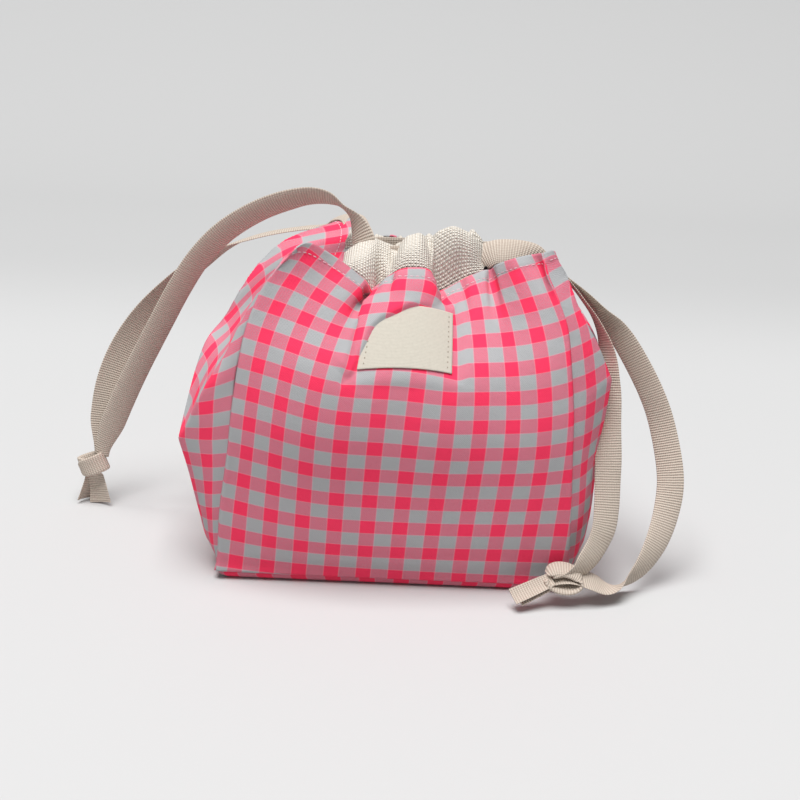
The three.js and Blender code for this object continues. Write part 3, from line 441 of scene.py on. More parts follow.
def put(name, points, faces, uv, material, caps=()):
    """New object from vertex places, four-sided faces, ends with more corners and a UV for each
    vertex. Faces are turned outwards by the sign of the volume they enclose."""
    points = points.reshape(-1, 3)
    corner = points[faces]
    spokes = np.cross(corner[:, 1] - corner[:, 0], corner[:, 2] - corner[:, 0])
    spokes += np.cross(corner[:, 2] - corner[:, 0], corner[:, 3] - corner[:, 0])
    middle = points.mean(axis=0)
    if ((corner.mean(axis=1) - middle) * spokes).sum() < 0:
        faces = faces[:, ::-1]
        caps = [cap[::-1] for cap in caps]
    mesh = bpy.data.meshes.new(name)
    mesh.from_pydata(points.tolist(), [], faces.tolist() + [list(map(int, cap)) for cap in caps])
    mesh.polygons.foreach_set("use_smooth", np.ones(len(mesh.polygons), bool))
    numbers = np.empty(len(mesh.loops), np.int32)
    mesh.loops.foreach_get("vertex_index", numbers)
    layer = mesh.uv_layers.new(name="Cloth")
    layer.data.foreach_set("uv", uv.reshape(-1, 2)[numbers].astype(np.float32).ravel())
    mesh.materials.append(material)
    made = bpy.data.objects.new(name, mesh)
    bpy.context.scene.collection.objects.link(made)
    return made


def put_sheet(name, outer, thick, uv, material):
    """Closed sheet: an outer grid, the same grid moved in by its thickness, and four rims."""
    inner = outer - thick * facing(outer)
    rows, columns = outer.shape[:2]
    top = np.arange(rows * columns).reshape(rows, columns)
    under = top + rows * columns
    faces = np.vstack([
        quads(top), quads(under[:, ::-1]), quads(np.stack([under[0], top[0]])),
        quads(np.stack([top[-1], under[-1]])), quads(np.stack([top[:, 0], under[:, 0]])),
        quads(np.stack([under[:, -1], top[:, -1]]))])
    return put(name, np.stack([outer, inner]), faces, np.stack([uv, uv]), material)


def put_tube(name, rings, uv, material):
    """Closed tube through rings of like points, with a flat cap at each end."""
    rows, sides = rings.shape[:2]
    index = np.arange(rows * sides).reshape(rows, sides)
    wrapped = np.c_[index, index[:, :1]]
    return put(name, rings, quads(wrapped), uv, material, caps=[index[0][::-1], index[-1]])


def flat_uv(rows, columns, width, height, start=(0, 0)):
    """Flat cloth places, in metres, of a grid."""
    u, v = np.meshgrid(np.linspace(0, width, columns), np.linspace(0, height, rows))
    return np.stack([u + start[0], v + start[1]], -1)


class Wire:
    """A shader socket that takes part in expressions; each operator adds a Math node."""

    def __init__(self, tree, socket=None):
        self.tree = tree
        self.socket = socket

    def node(self, kind, settings, values):
        """Add a node: its settings first, then the values or links of its sockets."""
        made = self.tree.nodes.new(kind)
        for key, value in settings.items():
            setattr(made, key, value)
        for key, value in values.items():
            if isinstance(value, Wire):
                self.tree.links.new(value.socket, made.inputs[key])
            else:
                made.inputs[key].default_value = value
        return made

    def out(self, kind, settings, values, socket=0):
        """Add a node and take one of its outputs."""
        return Wire(self.tree, self.node(kind, settings, values).outputs[socket])

    def math(self, operation, *values):
        return self.out("ShaderNodeMath", {"operation": operation}, dict(enumerate(values)))

    def mix(self, first, second):
        """Colour between two colours, by this value."""
        values = {0: self, 6: first, 7: second}
        return self.out("ShaderNodeMix", {"data_type": "RGBA", "clamp_factor": True}, values, 2)

    def __add__(self, other):
        return self.math("ADD", self, other)

    def __sub__(self, other):
        return self.math("SUBTRACT", self, other)

    def __rsub__(self, other):
        return self.math("SUBTRACT", other, self)

    def __mul__(self, other):
        return self.math("MULTIPLY", self, other)

    def __truediv__(self, other):
        return self.math("DIVIDE", self, other)

    __radd__ = __add__
    __rmul__ = __mul__


def stripe(place, repeat, share, shift, soft):
    """1 on stripes that fill a share of each repeat and start at shift, 0 between them: the share
    less twice the distance from the stripe's middle, made steep and clamped."""
    turn = place / repeat - (shift + share / 2 - 0.5)
    side = turn.math("FRACT", turn) - 0.5
    edge = (share / 2 - side.math("ABSOLUTE", side)) * (repeat / soft) + 0.5
    return edge.math("MINIMUM", edge.math("MAXIMUM", edge, 0.0), 1.0)


def wave(place, repeat):
    """Sine of a place, from 0 to 1, with a repeat."""
    turn = place * (2 * np.pi / repeat)
    return turn.math("SINE", turn) * 0.5 + 0.5


def solid(colour):
    """Opaque colour of a property."""
    return (*colour, 1.0)


class Finish:
    """One cloth material: its tree, the cloth's own places and its shader."""

    def __init__(self, name):
        self.material = bpy.data.materials.new(name)
        self.material.use_nodes = True
        tree = self.material.node_tree
        tree.nodes.clear()
        self.start = Wire(tree)
        self.uv = self.start.out("ShaderNodeUVMap", {"uv_map": "Cloth"}, {})
        parts = self.start.node("ShaderNodeSeparateXYZ", {}, {0: self.uv})
        self.u, self.v = Wire(tree, parts.outputs[0]), Wire(tree, parts.outputs[1])

    def noise(self, scale, detail=3.0, rough=0.55):
        """Noise over the cloth, scale to a metre."""
        return self.start.out("ShaderNodeTexNoise", {}, {
            "Vector": self.uv, "Scale": scale, "Detail": detail, "Roughness": rough})

    def done(self, colour, rough, height, depth, sheen=0.04):
        """Join colour, roughness and bump height to one diffuse cloth shader."""
        normal = self.start.out("ShaderNodeBump", {}, {"Strength": 1.0, "Distance": depth, "Height": height})
        shader = self.start.out("ShaderNodeBsdfPrincipled", {}, {
            "Base Color": colour, "Roughness": rough, "Normal": normal, "Sheen Weight": sheen,
            "Specular IOR Level": 0.1})
        self.start.node("ShaderNodeOutputMaterial", {}, {0: shader})
        return self.material


def checked_cotton(sizes, colours):
    """Gingham: warp and weft each carry grey and pink stripes; a fine checker of threads shows one
    or the other, so stripes that cross unlike give the mixed cells."""
    cloth = Finish("gingham")
    across, up, soft, thread = sizes.check_across, sizes.check_up, 0.0004, 0.0011
    warp = stripe(cloth.u, across, 0.475, 0.525, soft)
    weft = stripe(cloth.v, up, 0.5, -0.09, soft)
    slub = cloth.noise(1500.0, 2.0)
    along, crosswise = wave(cloth.u, thread), wave(cloth.v, thread)
    over = along * crosswise + (1 - along) * (1 - crosswise)
    shown = (over - 0.5) * 0.5 + (slub - 0.5) * 0.8 + 0.5
    share = warp + (weft - warp) * shown
    share = share.math("POWER", share.math("MAXIMUM", share, 0.0), 0.85)
    colour = share.mix(solid(colours.grey), solid(colours.pink))
    colour = (share * (1 - share) * 0.5).mix(colour, solid(colours.mixed))
    edge = stripe(cloth.u, across, 0.035, 0.508, soft) + stripe(cloth.u, across, 0.035, -0.017, soft)
    edge = edge + stripe(cloth.v, up, 0.03, -0.105, soft) + stripe(cloth.v, up, 0.03, 0.395, soft)
    colour = (edge * 0.14).mix(colour, solid(colours.edge))
    height = over * 0.25 + slub * 0.35 + cloth.noise(140.0, 4.0) * 0.8
    return cloth.done(colour, slub * 0.1 + 0.82, height, 0.0007, 0.03)


def plain_cotton(name, colour):
    """Plain weave: a fine checker of threads with slubs."""
    cloth = Finish(name)
    over = wave(cloth.u, 0.0008) * wave(cloth.v, 0.0008)
    slub = cloth.noise(500.0)
    shade = tuple(0.78 * c for c in colour) + (1.0,)
    tint = (over * 0.4 + slub * 0.6).mix(shade, solid(colour))
    return cloth.done(tint, slub * 0.1 + 0.82, over * 0.5 + slub * 0.5, 0.0003)


def coarse_linen(colours):
    """Basket weave: yarns in both directions that pass over and under in turn, with dark gaps
    where they part."""
    cloth = Finish("coarse_linen")
    repeat = 0.0017
    wander = cloth.noise(260.0) * 0.0006
    u, v = cloth.u + wander, cloth.v + wander
    yarn_u, yarn_v = wave(u, repeat), wave(v, repeat)
    half_u, half_v = wave(u, 2 * repeat), wave(v, 2 * repeat)
    turn = half_u * half_v + (1 - half_u) * (1 - half_v)
    body = yarn_u * yarn_v
    slub = cloth.noise(420.0)
    cover = body * 1.6 + slub * 0.35 + 0.12
    colour = cover.mix(solid(colours.linen_gap), solid(colours.linen))
    return cloth.done(colour, slub * 0.1 + 0.85, body * 0.8 + turn * 0.35 + slub * 0.2, 0.0008)


def ribbed_tape(colours):
    """Ribbed tape: ribs across the width, crossed by fine warp threads, paler on the ribs."""
    cloth = Finish("ribbed_tape")
    slub = cloth.noise(500.0)
    wander = cloth.noise(160.0) * 0.0005
    rib = wave(cloth.v + wander, 0.0015)
    thread = wave(cloth.u, 0.0011)
    cover = rib * 0.75 + thread * 0.25 + slub * 0.45 - 0.12
    colour = cover.mix(solid(colours.tape_gap), solid(colours.tape))
    return cloth.done(colour, slub * 0.1 + 0.85, rib * 0.8 + thread * 0.35 + slub * 0.3, 0.0004)


def tag_satin(colours):
    """Satin: long floats that run one way, with a low gloss."""
    cloth = Finish("black_satin")
    floats = wave(cloth.u, 0.0005)
    shade = tuple(c + 0.012 for c in colours.tag) + (1.0,)
    return cloth.done(floats.mix(solid(colours.tag), shade), floats * 0.15 + 0.4, floats, 0.0001, 0.0)


def finish(name):
    """The material of that name, made on its first use."""
    found = bpy.data.materials.get(name)
    if found:
        return found
    sizes, colours = bpy.context.scene.bag_sizes, bpy.context.scene.bag_colours
    makers = {
        "gingham": lambda: checked_cotton(sizes, colours),
        "lining_weave": lambda: plain_cotton("lining_weave", colours.lining),
        "felt_board": lambda: plain_cotton("felt_board", colours.felt),
        "coarse_linen": lambda: coarse_linen(colours),
        "ribbed_tape": lambda: ribbed_tape(colours),
        "label_weave": lambda: plain_cotton("label_weave", colours.label),
        "label_thread": lambda: plain_cotton("label_thread", colours.label_thread),
        "hem_thread": lambda: plain_cotton("hem_thread", colours.thread),
        "black_satin": lambda: tag_satin(colours),
    }
    return makers[name]()


WALLS = {}
LABEL_BED = []


def wide_wall(left, right, hem, face, push, draw):
    """A front or back: a coarse patch swollen by a sine each way, relaxed as cloth between its
    fixed edges, drawn in by a bell curve low down, pushed out by another just below the label, and
    made four times finer."""
    swell, low_at, low_reach, high_at, high_reach = 0.014, 0.31, 0.2, 0.69, 0.09
    rows, columns = 41, 43
    left, right = spaced(through(left), rows), spaced(through(right), rows)
    u, v = np.linspace(0, 1, columns), np.linspace(0, 1, rows)
    foot = left[0] + u[:, None] * (right[0] - left[0])
    grid = patch(left, right, foot, by_stops(hem, columns))
    grid[..., 1] += face * swell * np.sin(np.pi * u) ** 0.7 * np.sin(np.pi * v[:, None] ** 0.8)
    free = np.zeros((rows, columns, 1))
    free[1:-1, 1:-1] = 1
    rounds = 600
    grid = relax(grid, WIDE_CUT, free, rounds, push)
    calm = np.clip((0.97 - v) / 0.15, 0, 1)[:, None, None]
    grid = grid + calm * (soften(grid.copy(), 24) - grid)
    low = draw[0] * np.exp(-((v - low_at) / low_reach) ** 2)
    high = draw[1] * np.exp(-((v - high_at) / high_reach) ** 2)
    grid[..., 1] += face * ((high - low) * np.clip(v / 0.1, 0, 1))[:, None] * np.sin(np.pi * u) ** 0.7
    return finer(finer(grid))


def gusset_wall(left, right, hem, folds, tip, ease, dent, bulge):
    """A gusset: a ridge climbs to the tip of the swelling and parts there into two creases that run
    to the hem's corners, each leaving the tip's column by a power of the climb. Cloth between a
    seam and a crease is a straight blend of the two, slightly swollen; between the creases it
    sinks in, and the hem's sag fades below it."""
    rows, columns = 161, 105
    left, right = spaced(through(left), rows), spaced(through(right), rows)
    below = int(round(tip[1] * (rows - 1)))
    trunk = spaced(through(folds[0]), below + 1)
    left_fold, right_fold = (
        np.vstack([trunk[:-1], spaced(through(np.vstack([folds[0][-1:], crease])), rows - below)])[:, None]
        for crease in folds[1:])
    left, right = left[:, None], right[:, None]
    u = np.linspace(0, 1, columns)[None, :, None]
    climb = np.clip((np.linspace(0, 1, rows) - tip[1]) / (1 - tip[1]), 0, 1)[:, None, None]
    near, far = tip[0] * (1 - climb) ** ease[0], 1 - (1 - tip[0]) * (1 - climb) ** ease[1]

    def flank(seam, fold, other, share):
        out = unit((fold - other) * (1, 1, 0))
        return seam + share * (fold - seam) + bulge * 4 * share * (1 - share) * (1 - climb) * out

    on_left = flank(left, left_fold, right, np.clip(u / np.maximum(near, 1e-6), 0, 1))
    on_right = flank(right, right_fold, left, np.clip((1 - u) / np.maximum(1 - far, 1e-6), 0, 1))
    reach = np.clip((u - near) / np.maximum(far - near, 1e-6), 0, 1)
    inward = unit((left + right - left_fold - right_fold) * (1, 1, 0))
    middle = left_fold + reach * (right_fold - left_fold)
    middle = middle + dent * 4 * reach * (1 - reach) * np.sin(np.pi * climb) * inward
    line = left[-1] + u[0] * (right[-1] - left[-1])
    middle = middle + climb ** 4 * (spaced(through(hem), columns) - line)[None]
    return soften(np.where(u < near, on_left, np.where(u > far, on_right, middle)), 2)


def pinch(grid, sizes, cut, rolls):
    """Cloth sinks towards a corner seam, by a depth and over a reach for each side, so that the
    front and back stand proud of the gussets, and the base seam stands out; each is a bell curve of
    the distance from its edge. The folded hem stands out by a logistic step."""
    rows, columns = grid.shape[:2]
    u = np.linspace(0, cut[0], columns)[None, :, None]
    v = np.linspace(0, cut[1], rows)[:, None, None]
    hem = 0.0005 / (1 + np.exp(-(v - cut[1] + sizes.hem_depth) / 0.0004))
    foot = 0.0012 * np.exp(-(v / 0.003) ** 2)
    inside = np.clip((cut[1] - v - 0.012) / 0.09, 0, 1) * np.clip(v / 0.012, 0, 1)
    sink = sum(depth * np.exp(-(away / reach) ** 2)
               for away, (depth, reach) in zip((u, cut[0] - u), rolls))
    return grid + (hem + foot - sink * inside) * facing(grid)


def press(grid, sizes):
    """Cloth under the label, which holds it flat: drawn to the quadratic surface that fits it best, by
    a smooth step of the distance from the label."""
    x, y = np.moveaxis(flat_uv(*grid.shape[:2], *WIDE_CUT) - LABEL_START, -1, 0)
    away = np.maximum(np.maximum(-x, x - sizes.label_width), np.maximum(-y, y - sizes.label_height))
    hold = np.clip(1 - away / 0.013, 0, 1)[..., None]
    terms = np.stack([x ** 0, x, y, x * x, x * y, y * y], -1)
    fit = np.linalg.lstsq(terms[away < 0], grid[away < 0], rcond=None)[0]
    return grid + smooth(hold) * (terms @ fit - grid)


def fold_over(grid):
    """Height of the fold of the front that lies over the label's upper left corner: a steep rise
    above a curved line, falling off as a bell curve away from it and fading at both its ends."""
    rows, columns = grid.shape[:2]
    flat = flat_uv(rows, columns, *WIDE_CUT)
    line = spaced(through(np.c_[FOLD_LINE, 0 * FOLD_LINE[:, 0]]), 90)[:, :2]
    away = np.linalg.norm(flat[:, :, None] - line, axis=-1)
    share = away.argmin(axis=-1) / (len(line) - 1)
    above = flat[..., 1] > np.interp(flat[..., 0], line[:, 0], line[:, 1])
    left = np.where(above, 1, -1) * away.min(axis=-1)
    step = np.clip(left / 0.004, 0, 1)
    rise = (0.0024 + 0.0024 * share) * np.clip(share / 0.06, 0, 1) * np.clip((1 - share) / 0.3, 0, 1)
    return (rise * smooth(step) * np.exp(-(left / 0.016) ** 2))[..., None]


def walls():
    """The four walls' outer grids, worked out once."""
    if not WALLS:
        sizes = bpy.context.scene.bag_sizes
        front = wide_wall(FRONT_LEFT_SEAM, FRONT_RIGHT_SEAM, FRONT_HEM, face=-1, push=0.000012,
                          draw=(0.0122, 0.0034))
        back = wide_wall(BACK_RIGHT_SEAM, BACK_LEFT_SEAM, BACK_HEM, face=1, push=0.000010, draw=(0.0, 0.0))
        right = gusset_wall(FRONT_RIGHT_SEAM, BACK_RIGHT_SEAM, RIGHT_HEM, RIGHT_FOLDS,
                            tip=(0.28, 0.58), ease=(1, 1), dent=0.008, bulge=0.002)
        left = gusset_wall(BACK_LEFT_SEAM, FRONT_LEFT_SEAM, LEFT_HEM, LEFT_FOLDS,
                           tip=(0.72, 0.42), ease=(1, 2), dent=0.006, bulge=0.002)
        edge, tuck = (0.0022, 0.0009), (0.0024, 0.0075)
        front = pinch(press(front, sizes), sizes, WIDE_CUT, (edge, edge))
        LABEL_BED.append(front)
        WALLS["front"] = front + fold_over(front) * facing(front)
        WALLS["right"] = pinch(right, sizes, GUSSET_CUT, (tuck, tuck))
        WALLS["back"] = pinch(back, sizes, WIDE_CUT, (edge, edge))
        WALLS["left"] = pinch(left, sizes, GUSSET_CUT, (tuck, tuck))
    return WALLS


def wall_uv(key, grid):
    """Flat places of a wall, with a grey stripe along both sides of each front seam. The front's are
    shifted by a B-spline field, as its cloth pulls askew."""
    cut = WALL_CUTS[key]
    uv = flat_uv(*grid.shape[:2], *cut)
    if key == "left":
        uv[..., 0] = cut[0] - uv[..., 0]
    if key == "front":
        rows, columns = (b_spline(count, len(FRONT_UP)) for count in grid.shape[:2])
        uv += np.stack([rows @ FRONT_ACROSS @ columns.T, rows @ FRONT_UP @ columns.T], -1)
    return uv


def settle(piece, body, slot, *nodes):
    """Ride on a body and stand for CAD nodes. The slot is not used."""
    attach(piece, body)
    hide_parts(*nodes)


class BAG_OT_walls(Operator):
    """Front, back and gussets of checked cotton, relaxed between their seams and hems"""
    bl_idname = "bag.walls"
    bl_label = "Walls"

    def execute(self, context):
        sizes = context.scene.bag_sizes
        for key, grid in walls().items():
            node = WALL_NODES[key]
            piece = put_sheet(f"{node}_cloth", grid, sizes.cloth_thick, wall_uv(key, grid), finish("gingham"))
            settle(piece, "bag", "checked_cotton", node)
        return {"FINISHED"}


class BAG_OT_linings(Operator):
    """Plain lining just inside each wall"""
    bl_idname = "bag.linings"
    bl_label = "Linings"

    def execute(self, context):
        depth = context.scene.bag_sizes.cloth_thick + 0.0003
        inside = slice(None, -17, 2), slice(4, -4, 2)
        for key, grid in walls().items():
            inner = (grid - depth * facing(grid))[inside]
            uv = flat_uv(*grid.shape[:2], *WALL_CUTS[key])[inside]
            piece = put_sheet(f"{key}_lining_cloth", inner, 0.0006, uv, finish("lining_weave"))
            settle(piece, "bag", "lining_cotton", f"{key}_lining")
        return {"FINISHED"}


def base_ring(inset, z):
    """Rounded rectangle of the base drawn in by an inset, with its outward directions."""
    half, radius, steps, side = np.array(BASE_HALF), 0.005, 8, 30
    turns = np.linspace(0, np.pi / 2, steps)
    ring = []
    for corner, quarter in (((1, -1), -1), ((1, 1), 0), ((-1, 1), 1), ((-1, -1), 2)):
        angle = turns + quarter * np.pi / 2
        way = np.stack([np.cos(angle), np.sin(angle)], 1)
        ring.append((np.array(corner) * (half - inset - radius) + radius * way, way))
    spots, ways = [], []
    for (spot, way), (following, _) in zip(ring, ring[1:] + ring[:1]):
        share = np.linspace(0, 1, side + 1)[1:-1, None]
        spots += [spot, spot[-1] + share * (following[0] - spot[-1])]
        ways += [way, np.repeat(way[-1:], side - 1, axis=0)]
    spots, ways = np.vstack(spots), np.vstack(ways)
    return np.c_[spots, np.full(len(spots), z)], ways


def tray(name, profile, thick, material):
    """Shallow tray: rings of the base carried along a profile of insets and heights, out to the
    rim and back inside it, with a flat middle."""
    profile = np.asarray(profile)
    inside = profile[::-1] + (thick, thick)
    inside[0, 1] = profile[-1, 1]
    flat = np.r_[0, np.cumsum(np.linalg.norm(np.diff(profile, axis=0), axis=1))]
    first = profile[0, 0]
    corner = BASE_HALF[0], BASE_HALF[1] - first + flat[-1]
    rings, places = [], []
    for (inset, z), spread in zip(np.vstack([profile, inside]), np.r_[flat, flat[::-1]]):
        ring, ways = base_ring(inset, z)
        rings.append(ring)
        places.append(base_ring(first, 0)[0][:, :2] + ways * spread + corner)
    return put_tube(name, np.array(rings), np.array(places), material)


class BAG_OT_base(Operator):
    """Base of checked cotton turned up to the wall seam, its lining and the felt board"""
    bl_idname = "bag.base"
    bl_label = "Base"

    def execute(self, context):
        thick = context.scene.bag_sizes.cloth_thick
        outer = MM * np.array([(7, 0), (4.6, 0.15), (2.6, 0.9), (1.1, 2.3), (0.35, 3.9), (0.1, 5.6)])
        piece = tray("base_panel_cloth", outer, thick, finish("gingham"))
        settle(piece, "bag", "checked_cotton", "base_panel")
        inner = MM * np.array([(8.4, 3.2), (6, 3.3), (4, 3.7), (2.6, 4.6), (1.9, 5.6)])
        lining = tray("base_lining_cloth", inner, 0.0006, finish("lining_weave"))
        settle(lining, "bag", "lining_cotton", "base_lining")
        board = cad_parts["base_stiffener"].data.materials
        board.clear()
        board.append(finish("felt_board"))
        return {"FINISHED"}


def b_spline(count, controls):
    """Weights of clamped cubic B-spline controls at count places, by the Cox-de Boor rule."""
    knots = np.r_[np.zeros(3), np.linspace(0, 1, controls - 2), np.ones(3)]
    t = np.linspace(0, 1 - 1e-9, count)[:, None]
    weights = ((knots[:-1] <= t) & (t < knots[1:])).astype(float)
    for degree in (1, 2, 3):
        low, high = knots[:-degree - 1], knots[degree + 1:]
        rise = np.where(knots[degree:-1] > low, knots[degree:-1] - low, 1)
        fall = np.where(high > knots[1:-degree], high - knots[1:-degree], 1)
        weights = (t - low) / rise * weights[:, :-1] + (high - t) / fall * weights[:, 1:]
    return weights


def casing_grid(face, folds, tops, crest, hem):
    """Gathered casing: at each place along it a B-spline section climbs from inside the hem, over
    a rolled top and down the inner face. Lobes, each a root of a sine between two folds that lean
    on their way up, push the section out."""
    stations, around = 281, 61
    x = np.linspace(folds[0], folds[-1], stations)
    climb = np.array([0, 0, 0.25, 0.7, 1, 1])[:, None]
    phase = np.array([np.interp(x, folds + c * (tops - folds), np.arange(len(folds))) for c in climb])
    relief = 1.25 * np.abs(np.sin(np.pi * phase)) ** 0.75 - 1.05
    relief = relief + 0.13 * np.sin(np.pi * phase * 3.3 + 0.6 + 1.1 * climb) * np.sin(np.pi * phase) ** 2
    order = np.argsort(hem[:, 0])
    hem_y, hem_z = (np.interp(x, hem[order, 0], hem[order, k]) for k in (1, 2))
    top = np.interp(x, crest[:, 0], crest[:, 1])
    rim = np.abs(hem_y) - 0.0016
    inner, face_y = 0.0074 + 0 * x, 0.0052 + 0 * x
    foot = np.minimum(hem_z - 0.009, top - 0.022)
    sections = np.array([
        (rim - 0.0010, foot),
        (rim - 0.0008, np.minimum(hem_z - 0.002, top - 0.006)),
        (rim - 0.0030, np.minimum(hem_z + 0.0035, top - 0.003) + 0.003 * relief[2]),
        (0.6 * rim + 0.4 * inner + 0.002 + 0.004 * relief[3],
         0.4 * hem_z + 0.6 * top + 0.003 + 0.008 * relief[3]),
        (inner + 0.0045 + 0.002 * relief[4], top + 0.0015 + 0.007 * relief[4]),
        (inner + 0.0004, top + 0.002 + 0.005 * relief[5]),
        (face_y, top - 0.003),
        (face_y, top - 0.013),
        (0.0056 + 0 * x, foot)])
    depth, height = np.einsum("ck,kas->acs", b_spline(around, len(sections)), sections)
    return np.stack([np.broadcast_to(x, depth.shape), face * depth, height], -1)


class BAG_OT_casing(Operator):
    """Front and back halves of the gathered linen casing"""
    bl_idname = "bag.casing"
    bl_label = "Casing"

    def execute(self, context):
        for name, face, folds, tops, crest, hem in (
                ("front_casing", -1, FRONT_FOLDS_X, FRONT_TOPS_X, FRONT_CREST, FRONT_HEM),
                ("back_casing", 1, BACK_FOLDS_X, BACK_FOLDS_X, BACK_CREST, BACK_HEM)):
            grid = casing_grid(face, folds, tops, crest, by_stops(hem, 200))
            if face > 0:
                grid = grid[:, ::-1]
            across = np.r_[0, np.cumsum(np.linalg.norm(np.diff(grid, axis=1), axis=2).mean(axis=0))]
            up = np.r_[0, np.cumsum(np.linalg.norm(np.diff(grid, axis=0), axis=2).mean(axis=1))]
            uv = np.stack(np.meshgrid(across, up), -1)
            piece = put_sheet(f"{name}_cloth", grid, 0.0009, uv, finish("coarse_linen"))
            settle(piece, "bag", "linen", name)
        return {"FINISHED"}


def tape_rings(path, width, thick, cup):
    """Flat tape: a rounded slim section, cupped across its width, carried along a path of places
    and width directions; width may change along the path."""
    turn = np.linspace(0, 2 * np.pi, 28, endpoint=False)
    side = np.sign(np.cos(turn)) * np.abs(np.cos(turn)) ** 0.45
    rise = np.sign(np.sin(turn)) * np.abs(np.sin(turn)) ** 0.7
    along = unit(np.gradient(path[:, :3], axis=0))
    across = path[:, 3:]
    across = unit(across - (across * along).sum(1, keepdims=True) * along)
    up = np.cross(along, across)
    half = np.broadcast_to(np.asarray(width) / 2, len(path))[:, None, None]
    lift = (rise * thick / 2)[None, :, None] + cup * (side ** 2 - 0.4)[None, :, None] * half
    rings = path[:, None, :3] + half * side[None, :, None] * across[:, None] + lift * up[:, None]
    reach = lengths(path)
    uv = np.stack([np.broadcast_to(half[..., 0] * side[None], rings.shape[:2]),
                   np.broadcast_to(reach[:, None], rings.shape[:2])], -1)
    return rings, uv


def put_tape(name, path, width, thick, cup=0.0):
    """Tape along a path, named for the CAD node it stands for."""
    rings, uv = tape_rings(path, width, thick, cup)
    return put_tube(f"{name}_tape", rings, uv, finish("ribbed_tape"))


def tape_path(stops, step=0.0012):
    """Path of places, in metres, and width directions through stops given in millimetres."""
    stops = np.asarray(stops, float) * ((MM,) * 3 + (1,) * 3)
    curve = through(stops)
    return spaced(curve, int(lengths(curve)[-1] / step) + 8)


class BAG_OT_strands(Operator):
    """Free strands of both tapes, bunched where they go into their knots"""
    bl_idname = "bag.strands"
    bl_label = "Strands"

    def execute(self, context):
        sizes = context.scene.bag_sizes
        for name, stops in ROUTES.items():
            path = tape_path(stops)
            share = np.clip((np.linspace(0, 1, len(path)) - 0.91) / 0.09, 0, 1)
            width = sizes.tape_width - (sizes.tape_width - STRAND_BUNCHED) * smooth(share)
            piece = put_tape(name, path, width, sizes.tape_thick, CUPS[name])
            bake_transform(piece)
            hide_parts(name)
            "front" in name
        return {"FINISHED"}


def wrap_path(centre, bundle, wide, halves, turns, first, climb, lean):
    """Band of a drawn knot: an ellipse round the bundle that climbs along it as it turns, with its
    width along the bundle or leaning from it."""
    bundle = unit(np.array(bundle, float))
    wide = np.array(wide, float)
    wide = unit(wide - (wide @ bundle) * bundle)
    deep = np.cross(bundle, wide)
    share = np.linspace(0, 1, 200)[:, None]
    angle = 2 * np.pi * (first + turns * share)
    grow = 1 + 0.16 * share
    spot = halves[0] * np.cos(angle) * wide + halves[1] * np.sin(angle) * deep
    places = MM * (np.array(centre) + grow * spot + climb * (share - 0.5) * bundle)
    return np.c_[places, np.repeat((bundle - lean * deep)[None], len(places), axis=0)]


class BAG_OT_knots(Operator):
    """Overhand knots of the doubled tape and their cut tails"""
    bl_idname = "bag.knots"
    bl_label = "Knots"

    def execute(self, context):
        sizes = context.scene.bag_sizes
        for name, settings in KNOTS.items():
            path = wrap_path(**settings)
            share = np.linspace(0, 1, len(path))
            width = KNOT_WIDTHS[name] - 0.004 * (2 * share - 1) ** 8
            piece = put_tape(name, path, width, KNOT_THICK, 0.10)
            settle(piece, f"{name.split('_')[0]}_loop", "tape_cotton", name)
        spread = {"left": sizes.tape_width - TAIL_BUNCHED, "right": 0.0025}
        for name, stops in TAILS.items():
            path = tape_path(stops, 0.0006)
            side = name.split("_")[0]
            width = TAIL_BUNCHED + spread[side] * np.sqrt(np.linspace(0, 1, len(path)))
            piece = put_tape(name, path, width, sizes.tape_thick, 0.22)
            settle(piece, f"{side}_loop", "tape_cotton", name)
        return {"FINISHED"}


def turn_path(end, away, front, back):
    """Slack turn of a tape past a casing end: a stub that dips by a smooth step on each side, and
    half an ellipse between them, upright all the way."""
    stub, reach, sag = 0.013, 0.010, 0.0175
    share = np.linspace(0, 1, 14, endpoint=False)
    dip = sag * smooth(share)
    angle = np.linspace(-np.pi / 2, np.pi / 2, 40)
    x = end + away * np.r_[stub * share, stub + reach * np.cos(angle), stub * share[::-1]]
    y = np.r_[0 * share + front, (front + back) / 2 + (back - front) / 2 * np.sin(angle), 0 * share + back]
    z = CHANNEL_Z - np.r_[dip, 0 * angle + sag, dip[::-1]]
    return np.stack([x, y, z, 0 * x, 0 * x, 0 * x + 1], 1)


class BAG_OT_runs(Operator):
    """Tapes inside the casing and their slack turns past its ends"""
    bl_idname = "bag.runs"
    bl_label = "Runs"

    def execute(self, context):
        sizes = context.scene.bag_sizes
        start, end = CASING_ENDS
        paths = {"left_tape_turn": turn_path(end + EXIT_GAP, 1, -NEAR_TAPE, FAR_TAPE),
                 "right_tape_turn": turn_path(start - EXIT_GAP, -1, -FAR_TAPE, NEAR_TAPE)}
        for name, y in (("left_tape_front_run", -NEAR_TAPE), ("left_tape_back_run", FAR_TAPE),
                        ("right_tape_front_run", -FAR_TAPE), ("right_tape_back_run", NEAR_TAPE)):
            x = np.linspace(start, end, 40)
            paths[name] = np.stack([x, 0 * x + y, 0 * x + CHANNEL_Z, 0 * x, 0 * x, 0 * x + 1], 1)
        for name, path in paths.items():
            piece = put_tape(name, path, sizes.tape_width, sizes.tape_thick)
            settle(piece, "_".join(name.split("_")[:2]), "tape_cotton", name)
        return {"FINISHED"}


